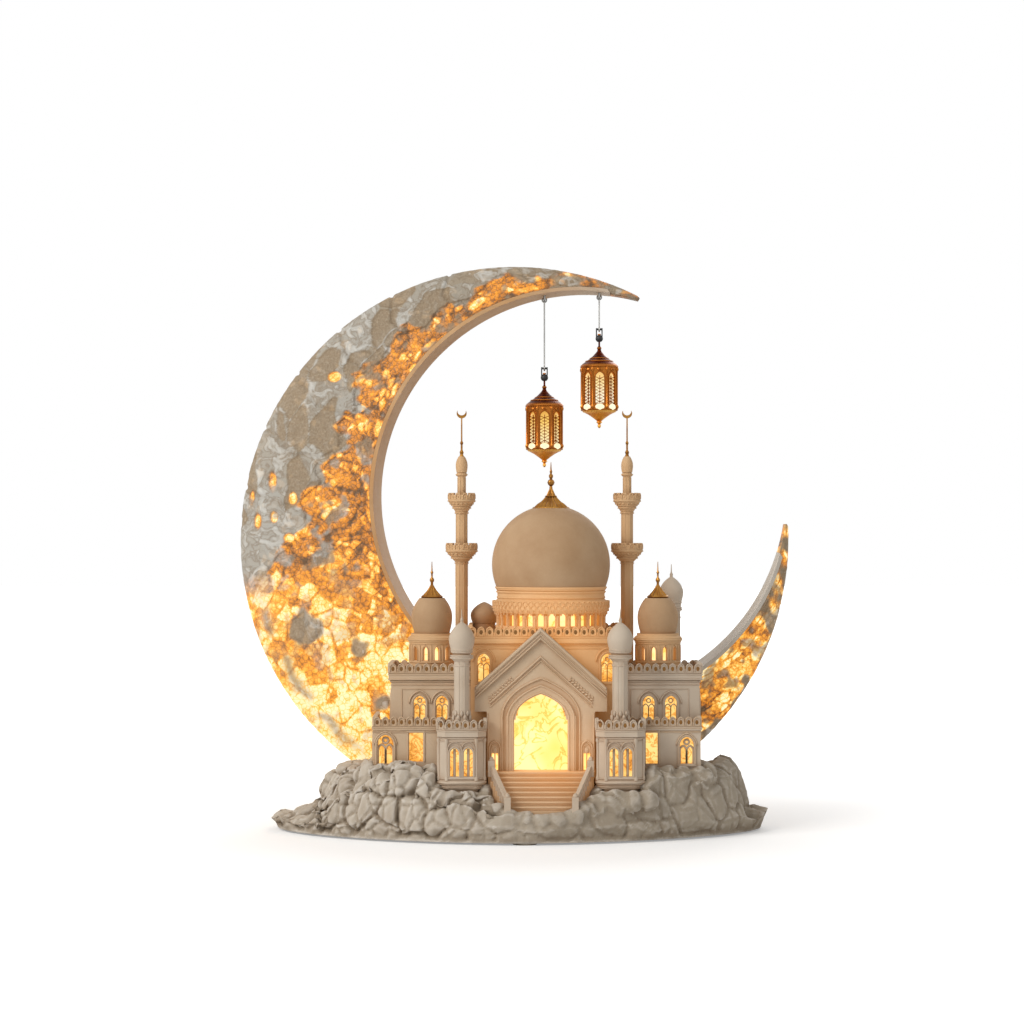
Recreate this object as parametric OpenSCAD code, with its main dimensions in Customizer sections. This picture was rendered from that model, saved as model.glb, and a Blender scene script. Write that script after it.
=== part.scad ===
// Lit table decoration: a mosque on a plaster rock in front of a crescent moon with two hanging lanterns.
// Millimetres. X to the right, Y away from the viewer, Z up. The origin is on the table under the middle.

/* [Moon] */
// Outer radius of the moon
moon_r = 147; // [140:1:155]
// Height of the moon's centre above the table
moon_z = 148.5; // [146:0.5:152]
// How far the moon's middle plane stands behind the origin
moon_y = 47; // [45:0.5:48]
// Half depth of the full moon at its centre
moon_half_depth = 24; // [22:0.5:25]
// Wall of the moon's two cast shells
moon_wall = 2.4; // [2:0.1:3]
// How far the grey crust stands over the lit skin
crust_t = 1; // [0.8:0.1:1.2]
// Sideways place of the round opening
opening_x = 36; // [34:0.5:38]
// Height of the round opening's centre
opening_z = 172; // [170:0.5:174]
// Radius of the opening at the front edge
opening_front_r = 110.7; // [109:0.1:112]
// Radius of the opening at the back edge
opening_back_r = 108.5; // [107:0.1:110]
// Distance from the moon's centre at which the horns are cut blunt
horn_reach = 127; // [122:1:129]
// Distance from the moon's centre at which the inner rim ends
rim_reach = 115; // [108:1:117]
// Thickness of the smooth inner rim
rim_t = 2; // [1.6:0.1:2.4]
// Width of the light strip behind the rim
strip_w = 8; // [6:0.5:10]
// Thickness of the light strip
strip_t = 0.8; // [0.6:0.1:1.2]
// Length of the block that screws the moon down
moon_foot_l = 44; // [36:1:48]
// Height of the block that screws the moon down
moon_foot_h = 11; // [10:0.5:12]

/* [Rock] */
// Width of the rock
rock_w = 257; // [250:1:264]
// Depth of the rock
rock_d = 138; // [134:1:142]
// Sideways place of the rock's middle
rock_x = 2.5; // [1:0.5:4]
// Height of the rock's underside above the table
rock_under = 1; // [0.8:0.1:1.4]
// Height of the rock at its rim
rock_rim_h = 8; // [6:0.5:10]
// Depth of the gullies that run down the rock
gully_d = 2.5; // [2:0.1:3]
// Height of the rock round the terrace
rock_crown_h = 34; // [33:0.5:36]
// Length of the hollow under the rock
hollow_l = 150; // [146:1:154]
// Depth of the hollow under the rock
hollow_d = 52; // [51:0.5:53]
// Thickness of rock left over the hollow
hollow_roof = 4; // [3:0.5:6]
// Height of rock left under the moon
moon_seat = 6; // [5.5:0.5:7]

/* [Base plate] */
// Thickness of the plate that closes the hollow
plate_t = 2.4; // [2:0.1:3]
// Width of the ledge that the plate sits on
plate_ledge = 4; // [3.5:0.5:4.5]
// Half width of the corner bosses for the plate screws
boss_r = 4.5; // [4:0.1:5]
// Radius of a screw's shank
screw_r = 1.4; // [1.2:0.1:1.6]
// Radius of a screw's head
screw_head_r = 2.6; // [2.4:0.1:3]
// Height of a screw's head
screw_head_h = 1.2; // [1:0.1:1.4]
// Length of a plate screw's shank
screw_l = 9; // [7:0.5:12]
// Radius of a rubber foot
foot_r = 6; // [5:0.5:7]
// Depth of a rubber foot's seat in the rock
foot_seat = 1.5; // [1:0.1:2]

/* [Power] */
// Diameter of a battery cell
cell_d = 14.2; // [14:0.1:14.5]
// Length of a battery cell
cell_l = 50.5; // [50:0.1:51]
// Gap between neighbouring cells
cell_gap = 0.8; // [0.5:0.1:1.2]
// Wall of the battery holder
holder_wall = 1.4; // [1.2:0.1:1.8]
// Room for the contact at each end of a cell
contact_room = 2.4; // [2:0.1:3]
// Thickness of a contact plate
contact_t = 0.5; // [0.4:0.1:0.6]
// Radius of the battery door's hinge pins
door_pin_r = 0.7; // [0.6:0.05:0.75]
// Length of a hinge pin
door_pin_l = 2; // [1.6:0.1:2.4]
// Travel of the slide switch
switch_travel = 4; // [3:0.5:5]
// Length of the switch's thumb piece
switch_key_l = 3.6; // [3:0.1:4]
// Height of the light board over the plate
board_stand = 5; // [4:0.5:6]
// Thickness of the light board
board_t = 1.6; // [1.2:0.1:2]
// Length of the light board
board_l = 34; // [30:1:38]
// Depth of the light board
board_d = 30; // [26:1:34]
// Diameter of a lead
lead_d = 1.6; // [1.4:0.1:1.8]

/* [Terrace and stairs] */
// Height of the terrace floor above the table
floor_z = 34; // [33:0.5:36]
// Thickness of the terrace slab
slab_t = 3; // [2.5:0.5:4]
// How far the slab stands out past the walls
slab_lip = 2; // [1:0.5:3]
// Depth of the landing in front of the doorway
landing_d = 10; // [9:0.5:11]
// Number of steps
step_count = 8; // [6:1:9]
// Run of each step
step_run = 2; // [1.8:0.1:2.1]
// Rise of each step
step_rise = 2.2; // [2:0.1:2.3]
// Width of the stairs at the top
stairs_top_w = 46; // [42:1:48]
// Width of the stairs at the bottom
stairs_foot_w = 30; // [28:1:34]
// Width of a stair post
post_w = 3.2; // [2.8:0.1:3.6]
// Height of a stair post
post_h = 8; // [7:0.5:9]
// Height of the handrail over the steps
rail_h = 5.5; // [5:0.5:6]

/* [Hall] */
// Sideways place of the mosque's middle
mosque_x = 15.5; // [14.5:0.5:16.5]
// Place of the hall's front wall
hall_front = -34; // [-35:0.5:-33]
// Width of the hall
hall_w = 75; // [73:0.5:77]
// Depth of the hall
hall_d = 57; // [56:0.5:58]
// Height of the hall's walls
hall_h = 66.5; // [65:0.5:68]
// Distance of the hall's front windows from its middle
hall_window_dx = 31; // [30:0.5:32]
// Height of the front windows over the floor
hall_window_z = 44; // [43:0.5:45]
// Width of a front window
hall_window_w = 6; // [5:0.5:7]
// Height of a front window
hall_window_h = 14; // [12:0.5:15]
// Distance between the hall's back windows
back_window_dx = 22; // [18:0.5:23]
// Height of the back windows over the floor
back_window_z = 18; // [14:0.5:20]
// Width of a back window
back_window_w = 10; // [8:0.5:12]
// Height of a back window
back_window_h = 34; // [28:0.5:36]
// Wall of the cast buildings
wall = 2; // [1.6:0.1:2.2]
// How far a cornice stands out
cornice_out = 1.2; // [1:0.1:1.4]
// Height of a cornice
cornice_h = 3.5; // [3:0.1:4]
// Height of the low wall under the battlements
parapet_h = 2.4; // [2:0.1:3]
// Height of a battlement's tooth
tooth_h = 2.8; // [2:0.1:3.2]
// Spacing of the teeth
tooth_pitch = 4.2; // [3.6:0.1:5]
// Thickness of the battlements
parapet_t = 1.4; // [1.2:0.1:1.6]

/* [Portal] */
// Sideways place of the portal from the mosque's middle
portal_dx = -2.4; // [-3:0.1:-1.8]
// Width of the portal between the pavilions
portal_w = 54; // [52:0.5:55]
// Width of the gable over the pavilions
gable_w = 66; // [64:0.5:67]
// Height of the gable's shoulder over the floor
shoulder_h = 29.5; // [29:0.5:31]
// Height of the gable's eaves over the floor
eaves_h = 41.5; // [40:0.5:43]
// Height of the gable's peak over the floor
peak_h = 71.2; // [70:0.2:72]
// Thickness of the portal
portal_t = 6.6; // [6:0.2:7]
// Width of the doorway
door_w = 27; // [25:0.5:29]
// Height of the doorway
door_h = 38.5; // [37:0.5:40]
// Rise of the doorway's pointed arch
door_rise = 13; // [12:0.5:14]
// Width of the raised borders
border_w = 4; // [3:0.5:4.5]
// How far the raised borders stand out
border_out = 1.4; // [1:0.1:1.6]
// Thickness of the amber sheets behind the openings
sheet_t = 1.2; // [1:0.1:1.4]

/* [Main dome] */
// Sideways place of the dome from the mosque's middle
dome_dx = 3.2; // [2:0.2:4]
// Radius of the dome
dome_r = 30.3; // [29.5:0.1:31]
// Wall of the dome
dome_wall = 2.2; // [1.8:0.1:2.6]
// Radius of the drum under the dome
drum_r = 27.4; // [26.5:0.1:27.8]
// Height of the drum
drum_h = 24; // [23:0.5:25]
// Height of the flared band's foot on the drum
flare_z = 11.5; // [11:0.1:12.5]
// How far the flared band stands out
flare_out = 2.4; // [2:0.1:2.6]
// Height of the flared band
flare_h = 6.5; // [5:0.1:7]
// Height of the dome's centre over its foot
dome_lift = 12; // [11:0.5:13]
// Number of arches round the drum
drum_arches = 30; // [24:1:30]
// Width of an arch in the drum
drum_arch_w = 3.2; // [2.8:0.1:3.4]
// Height of an arch in the drum
drum_arch_h = 6.4; // [5.5:0.1:6.6]
// Radius of the gold cap
cap_r = 9.3; // [8.5:0.1:10]
// Height of the gold cap over its rim
cap_h = 9.4; // [8.5:0.1:10.5]
// Height of the spire over the gold cap
spire_h = 14; // [12:0.5:16]

/* [Towers] */
// Width of a side tower
tower_w = 40; // [39:0.5:41]
// Place of the towers' front wall
tower_front = -28; // [-29:0.5:-27]
// Depth of a side tower
tower_d = 32; // [31:0.5:33]
// Height of a side tower's walls
tower_h = 47.8; // [47:0.2:49]
// Height of the tower windows over the floor
tower_window_z = 24; // [22:0.5:25]
// Width of a tower window
tower_window_w = 6; // [5:0.5:6.5]
// Height of a tower window
tower_window_h = 12.5; // [11:0.5:13]
// Radius of a side drum
side_drum_r = 11.3; // [10.8:0.1:11.6]
// Height of a side drum
side_drum_h = 19.6; // [19:0.2:20.4]
// Radius of a side dome
side_dome_r = 10.4; // [10:0.1:10.8]
// Height of a side dome
side_dome_h = 18; // [17:0.5:19]
// Radius of a side dome's gold cap
side_cap_r = 4.9; // [4.6:0.1:5.2]
// Height of a side dome's gold cap and spire
side_cap_h = 18.5; // [17:0.5:20]

/* [Wings] */
// Depth of a wing in front of its tower
wing_d = 7.8; // [7.4:0.2:8.2]
// Height of a wing's walls
wing_h = 21.5; // [21:0.5:22.5]
// How far the left wing stands out past its tower
wing_side = 8.6; // [8:0.2:9]
// Length of the left wing's side part
wing_side_l = 36; // [34:0.5:38]
// Height of the left wing's round-headed window
wing_window_h = 14.5; // [13.5:0.5:15]

/* [Pavilions] */
// Width of a front pavilion
pavilion_w = 24.2; // [23:0.2:25]
// Place of the pavilions' front
pavilion_front = -55; // [-56:0.5:-54]
// Height of a pavilion's seat on the rock
pavilion_seat = 22; // [21.5:0.5:23]
// Height of a pavilion's corbel
corbel_h = 8.4; // [7.8:0.2:9]
// Height of a pavilion's walls over the corbel
pavilion_h = 25; // [24:0.5:26]
// Bevel of a pavilion's corners
pavilion_bevel = 4; // [3:0.5:5]
// Radius of a front turret's shaft
turret_r = 3.8; // [3.4:0.1:4]
// Height of a front turret to its neck
turret_h = 34.5; // [33:0.5:36]
// Radius of a front turret's bulb
turret_bulb_r = 6.4; // [6:0.1:6.8]

/* [Minarets and rear turret] */
// Distance of the minarets from the mosque's middle
minaret_dx = 43; // [42.8:0.2:44]
// Width of a minaret's plinth
minaret_plinth = 10; // [9.4:0.2:10.4]
// Radius of a minaret's lower shaft
minaret_r = 3.2; // [3:0.1:3.4]
// Height of a minaret from the floor to its finial
minaret_h = 158.4; // [156:0.4:161]
// Radius of the minarets' balconies
balcony_r = 8.2; // [7.8:0.1:8.6]
// Height of a minaret's finial
finial_h = 25; // [23:0.5:27]
// Radius of the finial's crescent
finial_moon_r = 2.6; // [2.2:0.1:3]
// Radius of the rear turret's shaft
rear_turret_r = 5.2; // [4.8:0.1:5.4]
// Height of the rear turret to its neck
rear_turret_h = 78; // [76:0.5:80]
// Sideways place of the rear turret from the right tower's middle
rear_turret_dx = 8.4; // [7.6:0.2:9]
// Radius of the rear cupola
cupola_r = 7.2; // [6.8:0.1:7.4]

/* [Lanterns] */
// Sideways place of the left lantern
left_lantern_x = 16; // [15:0.5:17]
// Sideways place of the right lantern
right_lantern_x = 45.4; // [45:0.2:47]
// Length of the left hanger wire between its loops
left_wire_l = 36.6; // [34:0.2:38]
// Length of the right hanger wire between its loops
right_wire_l = 17.1; // [16:0.2:19]
// Radius of a hanger wire
wire_r = 0.4; // [0.35:0.05:0.45]
// Radius of the bars that the wires hang on
bar_r = 0.6; // [0.5:0.05:0.65]
// Drop of a staple's bar under the rim
staple_drop = 2.2; // [2.2:0.1:2.6]
// Radius of the swivel's bead
bead_r = 2; // [1.9:0.05:2.2]
// Radius of a lantern's stem
stem_r = 0.5; // [0.45:0.05:0.55]
// Corner radius of a lantern's cage
cage_r = 10.2; // [9.6:0.1:10.4]
// Height of a lantern's cage
cage_h = 22.8; // [21:0.2:24]
// Wall of a lantern's cage
cage_wall = 1.2; // [1:0.1:1.4]
// Height of a lantern's cap over the cage
lantern_cap_h = 8.4; // [8:0.2:9]
// Height of the cone under a lantern
lantern_base_h = 9.8; // [9:0.2:10.5]

/* [Hidden] */
$fn = 48;
fit = 0.2;
run_fit = 0.06;
hinge_gap = 0.6;
sheet_lap = 2;
cut = 1;
frame_out = 0.6;
pavilion_inset = 0.8;

plaster = "#e3d0b4";
rock_grey = "#d3cec7";
gold = "#b98636";
amber = "#ffc24a";
copper = "#8c3d1e";
steel = "#b9bcc0";
dark = "#3a3a3c";

// Places worked out from the sizes above
hall_back = hall_front + hall_d;
hall_top = floor_z + hall_h;
hall_mid_y = hall_front + hall_d / 2;
portal_x = mosque_x + portal_dx;
portal_back = hall_front - fit;
portal_front = portal_back - portal_t;
dome_x = mosque_x + dome_dx;
drum_top = hall_top + drum_h;
dome_z = drum_top + dome_lift;
dome_foot_r = sqrt(pow(dome_r, 2) - pow(dome_lift, 2));
cap_z = dome_z + sqrt(pow(dome_r, 2) - pow(cap_r, 2)) + fit;
tower_dx = hall_w / 2 + fit + tower_w / 2;
tower_back = tower_front + tower_d;
tower_mid_y = tower_front + tower_d / 2;
tower_top = floor_z + tower_h;
side_drum_top = tower_top + side_drum_h;
side_cap_z = side_drum_top + side_dome_h;
wing_front = tower_front - fit - wing_d;
wing_left = mosque_x - tower_dx - tower_w / 2 - wing_side;
wing_right = mosque_x + tower_dx + tower_w / 2;
pavilion_dx = portal_w / 2 + fit + pavilion_w / 2;
pavilion_back = wing_front - max(frame_out, cornice_out / 2) - fit;
pavilion_d = pavilion_back - pavilion_front;
pavilion_mid_y = (pavilion_front + pavilion_back) / 2;
pavilion_top = pavilion_seat + corbel_h + pavilion_h;
landing_front = wing_front - landing_d;
minaret_y = tower_back + fit + minaret_plinth / 2;
rear_turret_x = mosque_x + tower_dx + rear_turret_dx;
rear_turret_y = tower_back + fit + rear_turret_r + 1.2;
cupola_x = mosque_x - hall_w / 2 + cupola_r - 1;
cupola_y = hall_back - cupola_r;
slab_under = floor_z - slab_t;
stairs_foot_z = floor_z - step_count * step_rise;
stairs_under = stairs_foot_z - 3;
stairs_front = landing_front - fit - step_count * step_run;
opening_angle = atan2(opening_z - moon_z, opening_x);
strip_reach = 40;
moon_seat_z = rock_under + moon_seat;
plate_under = rock_under;
plate_top = plate_under + plate_t;
hollow_x = mosque_x - 4;
hollow_y = hall_mid_y;
hollow_top = slab_under - hollow_roof;
boss_places = [for (sx = [-1, 1], sy = [-1, 1])
  [hollow_x + sx * (hollow_l / 2 - boss_r), hollow_y + sy * (hollow_d / 2 - boss_r)]];
side_foot_dx = (hollow_l / 2 + plate_ledge + rock_w / 2) / 2;
side_foot_x = (hollow_x + rock_x) / 2;
foot_places = [[side_foot_x - side_foot_dx, -8], [side_foot_x + side_foot_dx, -8],
  [-58, 52], [62, 52], [5, -60]];
cell_pitch = cell_d + cell_gap;
holder_l = cell_l + 2 * contact_room;
holder_d = 3 * cell_pitch;
holder_x = hollow_x - hollow_l / 2 + 2 * boss_r + 4 + holder_l / 2;
holder_top = plate_top + cell_d + 1 + holder_wall;
cell_z = plate_top + 0.6 + cell_d / 2;
door_l = holder_l - 2 * fit;
door_d = holder_d - 2 * fit;
door_axis_y = hollow_y - door_d / 2 + plate_t / 2;
door_axis_z = plate_under + plate_t / 2;
switch_x = hollow_x + hollow_l / 2 - 2 * boss_r - 6;
switch_y = hollow_y + 4;
board_x = holder_x + holder_l / 2 + holder_wall + 8 + board_l / 2;
board_y = hollow_y;
board_z = plate_top + board_stand;
swivel_drop = 5;
bead_flat = bead_r - 0.25;
light_well_w = 50;
light_well_d = 40;
switch_stem_w = 2.4;
switch_flange_w = 3.6;
switch_flange_h = 1.4;
staple_half = 1.8;
loop_r = bar_r + 0.15 + wire_r;
staple_leg_l = staple_drop + rim_t + 1;
lead_x = holder_x + holder_l / 2 + holder_wall + 2 * lead_d;
lead_y = hollow_y + hollow_d / 2;
lead_z = plate_top + plate_t;
cage_drop = 15.4;

// Boulders that swell out of the rock: place, reach and height
boulders = [
  [-118, -2, 11, 8], [-106, -12, 12, 11], [-102, 6, 13, 14], [-86, -4, 12, 32], [-87, -24, 12, 22],
  [-82, -14, 14, 35], [-80, -36, 12, 27], [-72, -26, 13, 39], [-66, -42, 12, 35], [-56, -44, 12, 42],
  [-46, -48, 11, 39], [-56, -57, 10, 17], [-42, -60, 9, 24], [-28, -62, 10, 22], [-15, -64, 9, 18],
  [-2, -66, 8, 16], [12, -67, 8, 15], [26, -66, 9, 17], [40, -63, 10, 20], [54, -61, 10, 22],
  [68, -53, 11, 29], [71, -43, 12, 37], [80, -50, 10, 20], [82, -40, 12, 36], [94, -38, 11, 25],
  [92, -30, 13, 39], [102, -18, 13, 37], [106, -8, 12, 41], [108, -26, 10, 20], [120, 0, 10, 14],
  [112, 14, 11, 18], [98, 18, 14, 34], [92, 36, 17, 32], [74, 48, 16, 30], [54, 56, 16, 25],
  [34, 60, 14, 28], [12, 62, 14, 22], [-12, 61, 15, 27], [-36, 58, 15, 24], [-58, 52, 16, 29],
  [-78, 40, 17, 31], [-86, 24, 14, 29], [-106, 14, 11, 12], [88, 14, 20, 36], [-82, 12, 20, 36],
  [-70, 28, 16, 37], [80, 30, 16, 36], [20, 34, 14, 35], [-20, 34, 14, 35],
  [52, 32, 14, 36], [-48, 30, 14, 36]];
rock_steps = 120;
rock_rings = [0, 0.36, 0.5, 0.6, 0.68, 0.75, 0.81, 0.86, 0.9, 0.94, 0.97, 1];

// Reach of the rock's edge in a direction: fuller at the back than at the front
function rock_edge(a) =
  let (n = sin(a) < 0 ? 1.7 : 2)
  1 / pow(pow(abs(cos(a)) / (rock_w / 2), n) + pow(abs(sin(a)) / (rock_d / 2), n), 1 / n);

// Height of one boulder over a point, falling away from its middle
function boulder_z(b, p) =
  let (d = norm([p[0] - b[0], p[1] - b[1]]) / b[2])
  d < 1 ? b[3] * (0.55 + 0.45 * sqrt(1 - d * d)) : 0;

// Depth of the rock's gullies in a direction at a share of the way to its edge
function gully(a, share) =
  gully_d * pow(1 - abs(sin(14 * a + 60 * sin(3 * a) + 120 * share)), 2) * max(0, min(1, 4 * share - 2.4));

// Height of the rock over a point in a direction at a share of the way to its edge
function rock_z(p, a, share) =
  let (slope = rock_rim_h + (rock_crown_h - rock_rim_h) * pow(1 - share * share, 0.6 + 0.8 * pow(cos(a), 4)))
  share > 0.99
    ? rock_rim_h + 3 * sin(9 * p[0]) * cos(7 * p[1])
    : max(concat([slope], [for (b = boulders) boulder_z(b, p)])) - gully(a, share);

function rock_point(share, a) =
  [rock_x + share * rock_edge(a) * cos(a), share * rock_edge(a) * sin(a)];

// Radius of an onion dome of unit radius from its foot (0) to its tip (1)
function onion_r(u) = u < 0.36 ? 0.86 + 0.14 * sin(90 * u / 0.36) : pow(cos(90 * (u - 0.36) / 0.64), 0.72);

// Distance of the opening's wall from its axis at a depth
function opening_r(y) =
  let (half = moon_half_depth * 0.87)
  opening_front_r + (opening_back_r - opening_front_r) * (y - (moon_y - half)) / (2 * half);

// Height of the rim's underside over a place in the upper horn
function rim_under(x) = opening_z + sqrt(pow(opening_r(moon_y), 2) - pow(x - opening_x, 2));

// A flat outline drawn in X and Z, made solid from y0 back to y1
module upright(y0, y1) {
  translate([0, y1, 0])
    rotate([90, 0, 0])
      linear_extrude(y1 - y0)
        children();
}

// A flat outline made solid from a height up
module raised(z, h) {
  translate([0, 0, z])
    linear_extrude(h)
      children();
}

// A box from its low corner to its high corner
module span_box(low, high) {
  translate(low)
    cube(high - low);
}

// A box on a floor height, centred in X and Y
module block(w, d, h) {
  translate([-w / 2, -d / 2, 0])
    cube([w, d, h]);
}

// Pointed arch that stands on the origin
module pointed_arch(w, h, rise) {
  arc_r = (w * w / 4 + rise * rise) / w;
  translate([-w / 2, 0])
    square([w, h - rise]);
  intersection() {
    translate([arc_r - w / 2, h - rise])
      circle(arc_r);
    translate([w / 2 - arc_r, h - rise])
      circle(arc_r);
    translate([-w / 2, h - rise])
      square([w, rise]);
  }
}

// Arched hole through a wall, from a place on its outer face and the wall's angle
module arch_hole(place, angle, w, h) {
  translate(place)
    rotate([0, 0, angle])
      upright(-2 * cut - border_out, wall + 2 * cut)
        pointed_arch(w, h, w * 0.6);
}

// Raised frame round an arched hole
module arch_frame(place, angle, w, h) {
  frame = 1.2;
  translate(place)
    rotate([0, 0, angle])
      upright(-frame_out, wall / 2)
        difference() {
          translate([0, -frame])
            pointed_arch(w + 2 * frame, h + 2 * frame, (w + 2 * frame) * 0.6);
          pointed_arch(w, h, w * 0.6);
        }
}

// Battlement outline of a given length
module battlement(length) {
  count = max(1, round(length / tooth_pitch));
  step = length / count;
  tooth = [[0.14, 0], [0.14, 0.6], [0.5, 1], [0.86, 0.6], [0.86, 0]];
  polygon(concat(
    [[0, 0], [0, parapet_h]],
    [for (i = [0:count - 1], t = tooth) [(i + t[0]) * step, parapet_h + t[1] * tooth_h]],
    [[length, parapet_h], [length, 0]]));
}

// Battlements round a flat roof, centred in X and Y
module battlements(w, d) {
  for (side = [0, 180])
    rotate([0, 0, side])
      translate([-w / 2, -d / 2, 0])
        upright(0, parapet_t)
          battlement(w);
  for (side = [90, 270])
    rotate([0, 0, side])
      translate([-d / 2, -w / 2, 0])
        upright(0, parapet_t)
          battlement(d);
}

// Square storey with its cornice and battlements, centred in X and Y
module storey(w, d, h) {
  out = 2 * cornice_out;
  block(w, d, h);
  translate([0, 0, h - cornice_h])
    block(w + out, d + out, cornice_h);
  translate([0, 0, h])
    battlements(w + out, d + out);
}

// Outline of an onion dome with its foot on the origin
module onion(r, h) {
  rotate_extrude()
    polygon(concat([[0, 0]], [for (u = [0:0.06:0.96]) [r * onion_r(u), h * u]], [[0, h]]));
}

// A round turned piece from its list of radius and height
module turned(outline) {
  rotate_extrude()
    polygon(concat([[0, outline[0][1]]], outline, [[0, outline[len(outline) - 1][1]]]));
}

// A lead along straight runs with round corners
module lead(path) {
  for (i = [0:len(path) - 2])
    let (from = path[i], along = path[i + 1] - path[i], l = norm(along))
      translate(from)
        rotate([0, acos(along[2] / l), atan2(along[1], along[0])])
          cylinder(d = lead_d, h = l, $fn = 16);
  for (i = [1:len(path) - 2])
    translate(path[i])
      sphere(d = lead_d + 0.1, $fn = 16);
}

// Rock and what is under it

module rock_lump() {
  n = rock_steps;
  rings = len(rock_rings) - 1;
  top = [for (k = [1:rings], i = [0:n - 1])
    let (share = rock_rings[k], a = 360 * i / n, p = rock_point(share, a))
    [p[0], p[1], rock_z(p, a, share)]];
  under = [for (i = [0:n - 1]) let (p = rock_point(0.97, 360 * i / n)) [p[0], p[1], rock_under]];
  points = concat([[rock_x, 0, rock_crown_h]], top, under);
  low = 1 + rings * n;
  polyhedron(points, concat(
    [for (i = [0:n - 1]) [0, 1 + (i + 1) % n, 1 + i]],
    [for (k = [0:rings - 1], i = [0:n - 1]) [1 + k * n + i, 1 + k * n + (i + 1) % n, 1 + (k + 1) * n + i]],
    [for (k = [0:rings - 1], i = [0:n - 1])
      [1 + k * n + (i + 1) % n, 1 + (k + 1) * n + (i + 1) % n, 1 + (k + 1) * n + i]],
    [[for (i = [0:n - 1]) low + i]]));
}

module hollow_outline(grow) {
  translate([hollow_x, hollow_y])
    square([hollow_l + 2 * grow, hollow_d + 2 * grow], center = true);
}

module rock_base() {
  color(rock_grey)
    difference() {
      rock_lump();
      raised(slab_under, rock_crown_h)
        terrace_outline(frame_out + fit);
      for (side = [-1, 1])
        translate([portal_x + side * pavilion_dx, pavilion_mid_y, pavilion_seat])
          block(pavilion_w + 2 * (frame_out + fit), pavilion_d + 2 * fit, rock_crown_h);
      stairs_room();
      intersection() {
        moon(-fit);
        translate([0, moon_y, moon_seat_z])
          block(2 * moon_r, 4 * moon_half_depth, moon_r);
      }
      difference() {
        raised(rock_under - cut, hollow_top - rock_under + cut)
          hollow_outline(0);
        for (p = boss_places)
          translate([p[0], p[1], plate_top])
            block(2 * boss_r + cut, 2 * boss_r + cut, hollow_top);
      }
      translate([mosque_x, hall_mid_y, hollow_top - cut])
        block(light_well_w, light_well_d, hollow_roof + 2 * cut);
      raised(rock_under - cut, plate_t + cut)
        hollow_outline(plate_ledge + fit);
      for (p = boss_places)
        translate([p[0], p[1], rock_under])
          cylinder(r = screw_r + run_fit, h = plate_t + screw_l);
      for (p = foot_places)
        translate([p[0], p[1], rock_under - cut])
          cylinder(r = foot_r + fit, h = foot_seat + cut);
      for (side = [-1, 1])
        translate([side * moon_foot_l / 3, moon_y, rock_under - cut]) {
          cylinder(r = screw_r + fit, h = moon_seat + 2 * cut);
          cylinder(r = screw_head_r + fit, h = screw_head_h + 2 * cut);
        }
      lead_channel();
    }
}

// Way for the lead from the hollow to the moon's foot
module lead_channel() {
  translate([lead_x, lead_y - 2 * cut, lead_z])
    rotate([-90, 0, 0])
      cylinder(d = lead_d + 2 * fit, h = moon_y - lead_y + 2 * cut);
  translate([lead_x, moon_y, lead_z])
    cylinder(d = lead_d + 2 * fit, h = moon_seat);
  translate([lead_x, moon_y, lead_z])
    sphere(d = lead_d + 3 * fit);
}

module base_plate() {
  color(dark)
    union() {
      difference() {
        raised(plate_under, plate_t)
          hollow_outline(plate_ledge);
        for (p = boss_places)
          translate([p[0], p[1], plate_under - cut]) {
            cylinder(r = screw_r + fit, h = plate_t + 2 * cut);
            cylinder(r = screw_head_r + fit, h = screw_head_h + cut);
          }
        span_box(
          [holder_x - door_l / 2 - fit, hollow_y - door_d / 2 - hinge_gap, plate_under - cut],
          [holder_x + door_l / 2 + fit, hollow_y + door_d / 2 + fit, plate_top + cut]);
        translate([holder_x - door_l / 2 - door_pin_l - fit, door_axis_y, door_axis_z])
          rotate([0, 90, 0])
            cylinder(r = door_pin_r + run_fit, h = door_l + 2 * door_pin_l + 2 * fit);
        translate([switch_x + switch_travel / 2, switch_y, plate_under - cut])
          block(switch_key_l + switch_travel + 2 * fit, switch_stem_w + 2 * fit, plate_t + 2 * cut);
      }
      for (sx = [-1, 1], sy = [-1, 1])
        translate([board_x + sx * (board_l / 2 - 4), board_y + sy * (board_d / 2 - 4), plate_top]) {
          cylinder(r = 2, h = board_stand);
          cylinder(r = 0.9, h = board_stand + board_t + 0.6);
        }
    }
}

module base_plate_screws() {
  color(steel)
    for (p = boss_places)
      translate([p[0], p[1], plate_under]) {
        cylinder(r = screw_head_r, h = screw_head_h);
        cylinder(r = screw_r, h = plate_t + screw_l - cut);
      }
}

module base_feet() {
  color(dark)
    for (p = foot_places)
      translate([p[0], p[1], 0])
        cylinder(r = foot_r, h = rock_under + foot_seat);
}

module battery_holder() {
  color(dark)
    difference() {
      translate([holder_x, hollow_y, plate_top])
        block(holder_l + 2 * holder_wall, holder_d + 2 * holder_wall, holder_top - plate_top);
      translate([holder_x, hollow_y, plate_top - cut])
        block(holder_l, holder_d, holder_top - plate_top - holder_wall + cut);
      translate([holder_x + holder_l / 2 - cut, hollow_y - holder_d / 4, plate_top + cell_d / 2])
        rotate([0, 90, 0])
          cylinder(d = lead_d + 2 * fit, h = holder_wall + 2 * cut);
    }
}

module battery_cells() {
  color("#4f6b58")
    for (i = [-1:1])
      translate([holder_x, hollow_y + i * cell_pitch, cell_z])
        rotate([0, i == 0 ? -90 : 90, 0])
          turned([
            [cell_d / 2, -cell_l / 2], [cell_d / 2, cell_l / 2 - 1],
            [2.7, cell_l / 2 - 1], [2.7, cell_l / 2]]);
}

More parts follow.
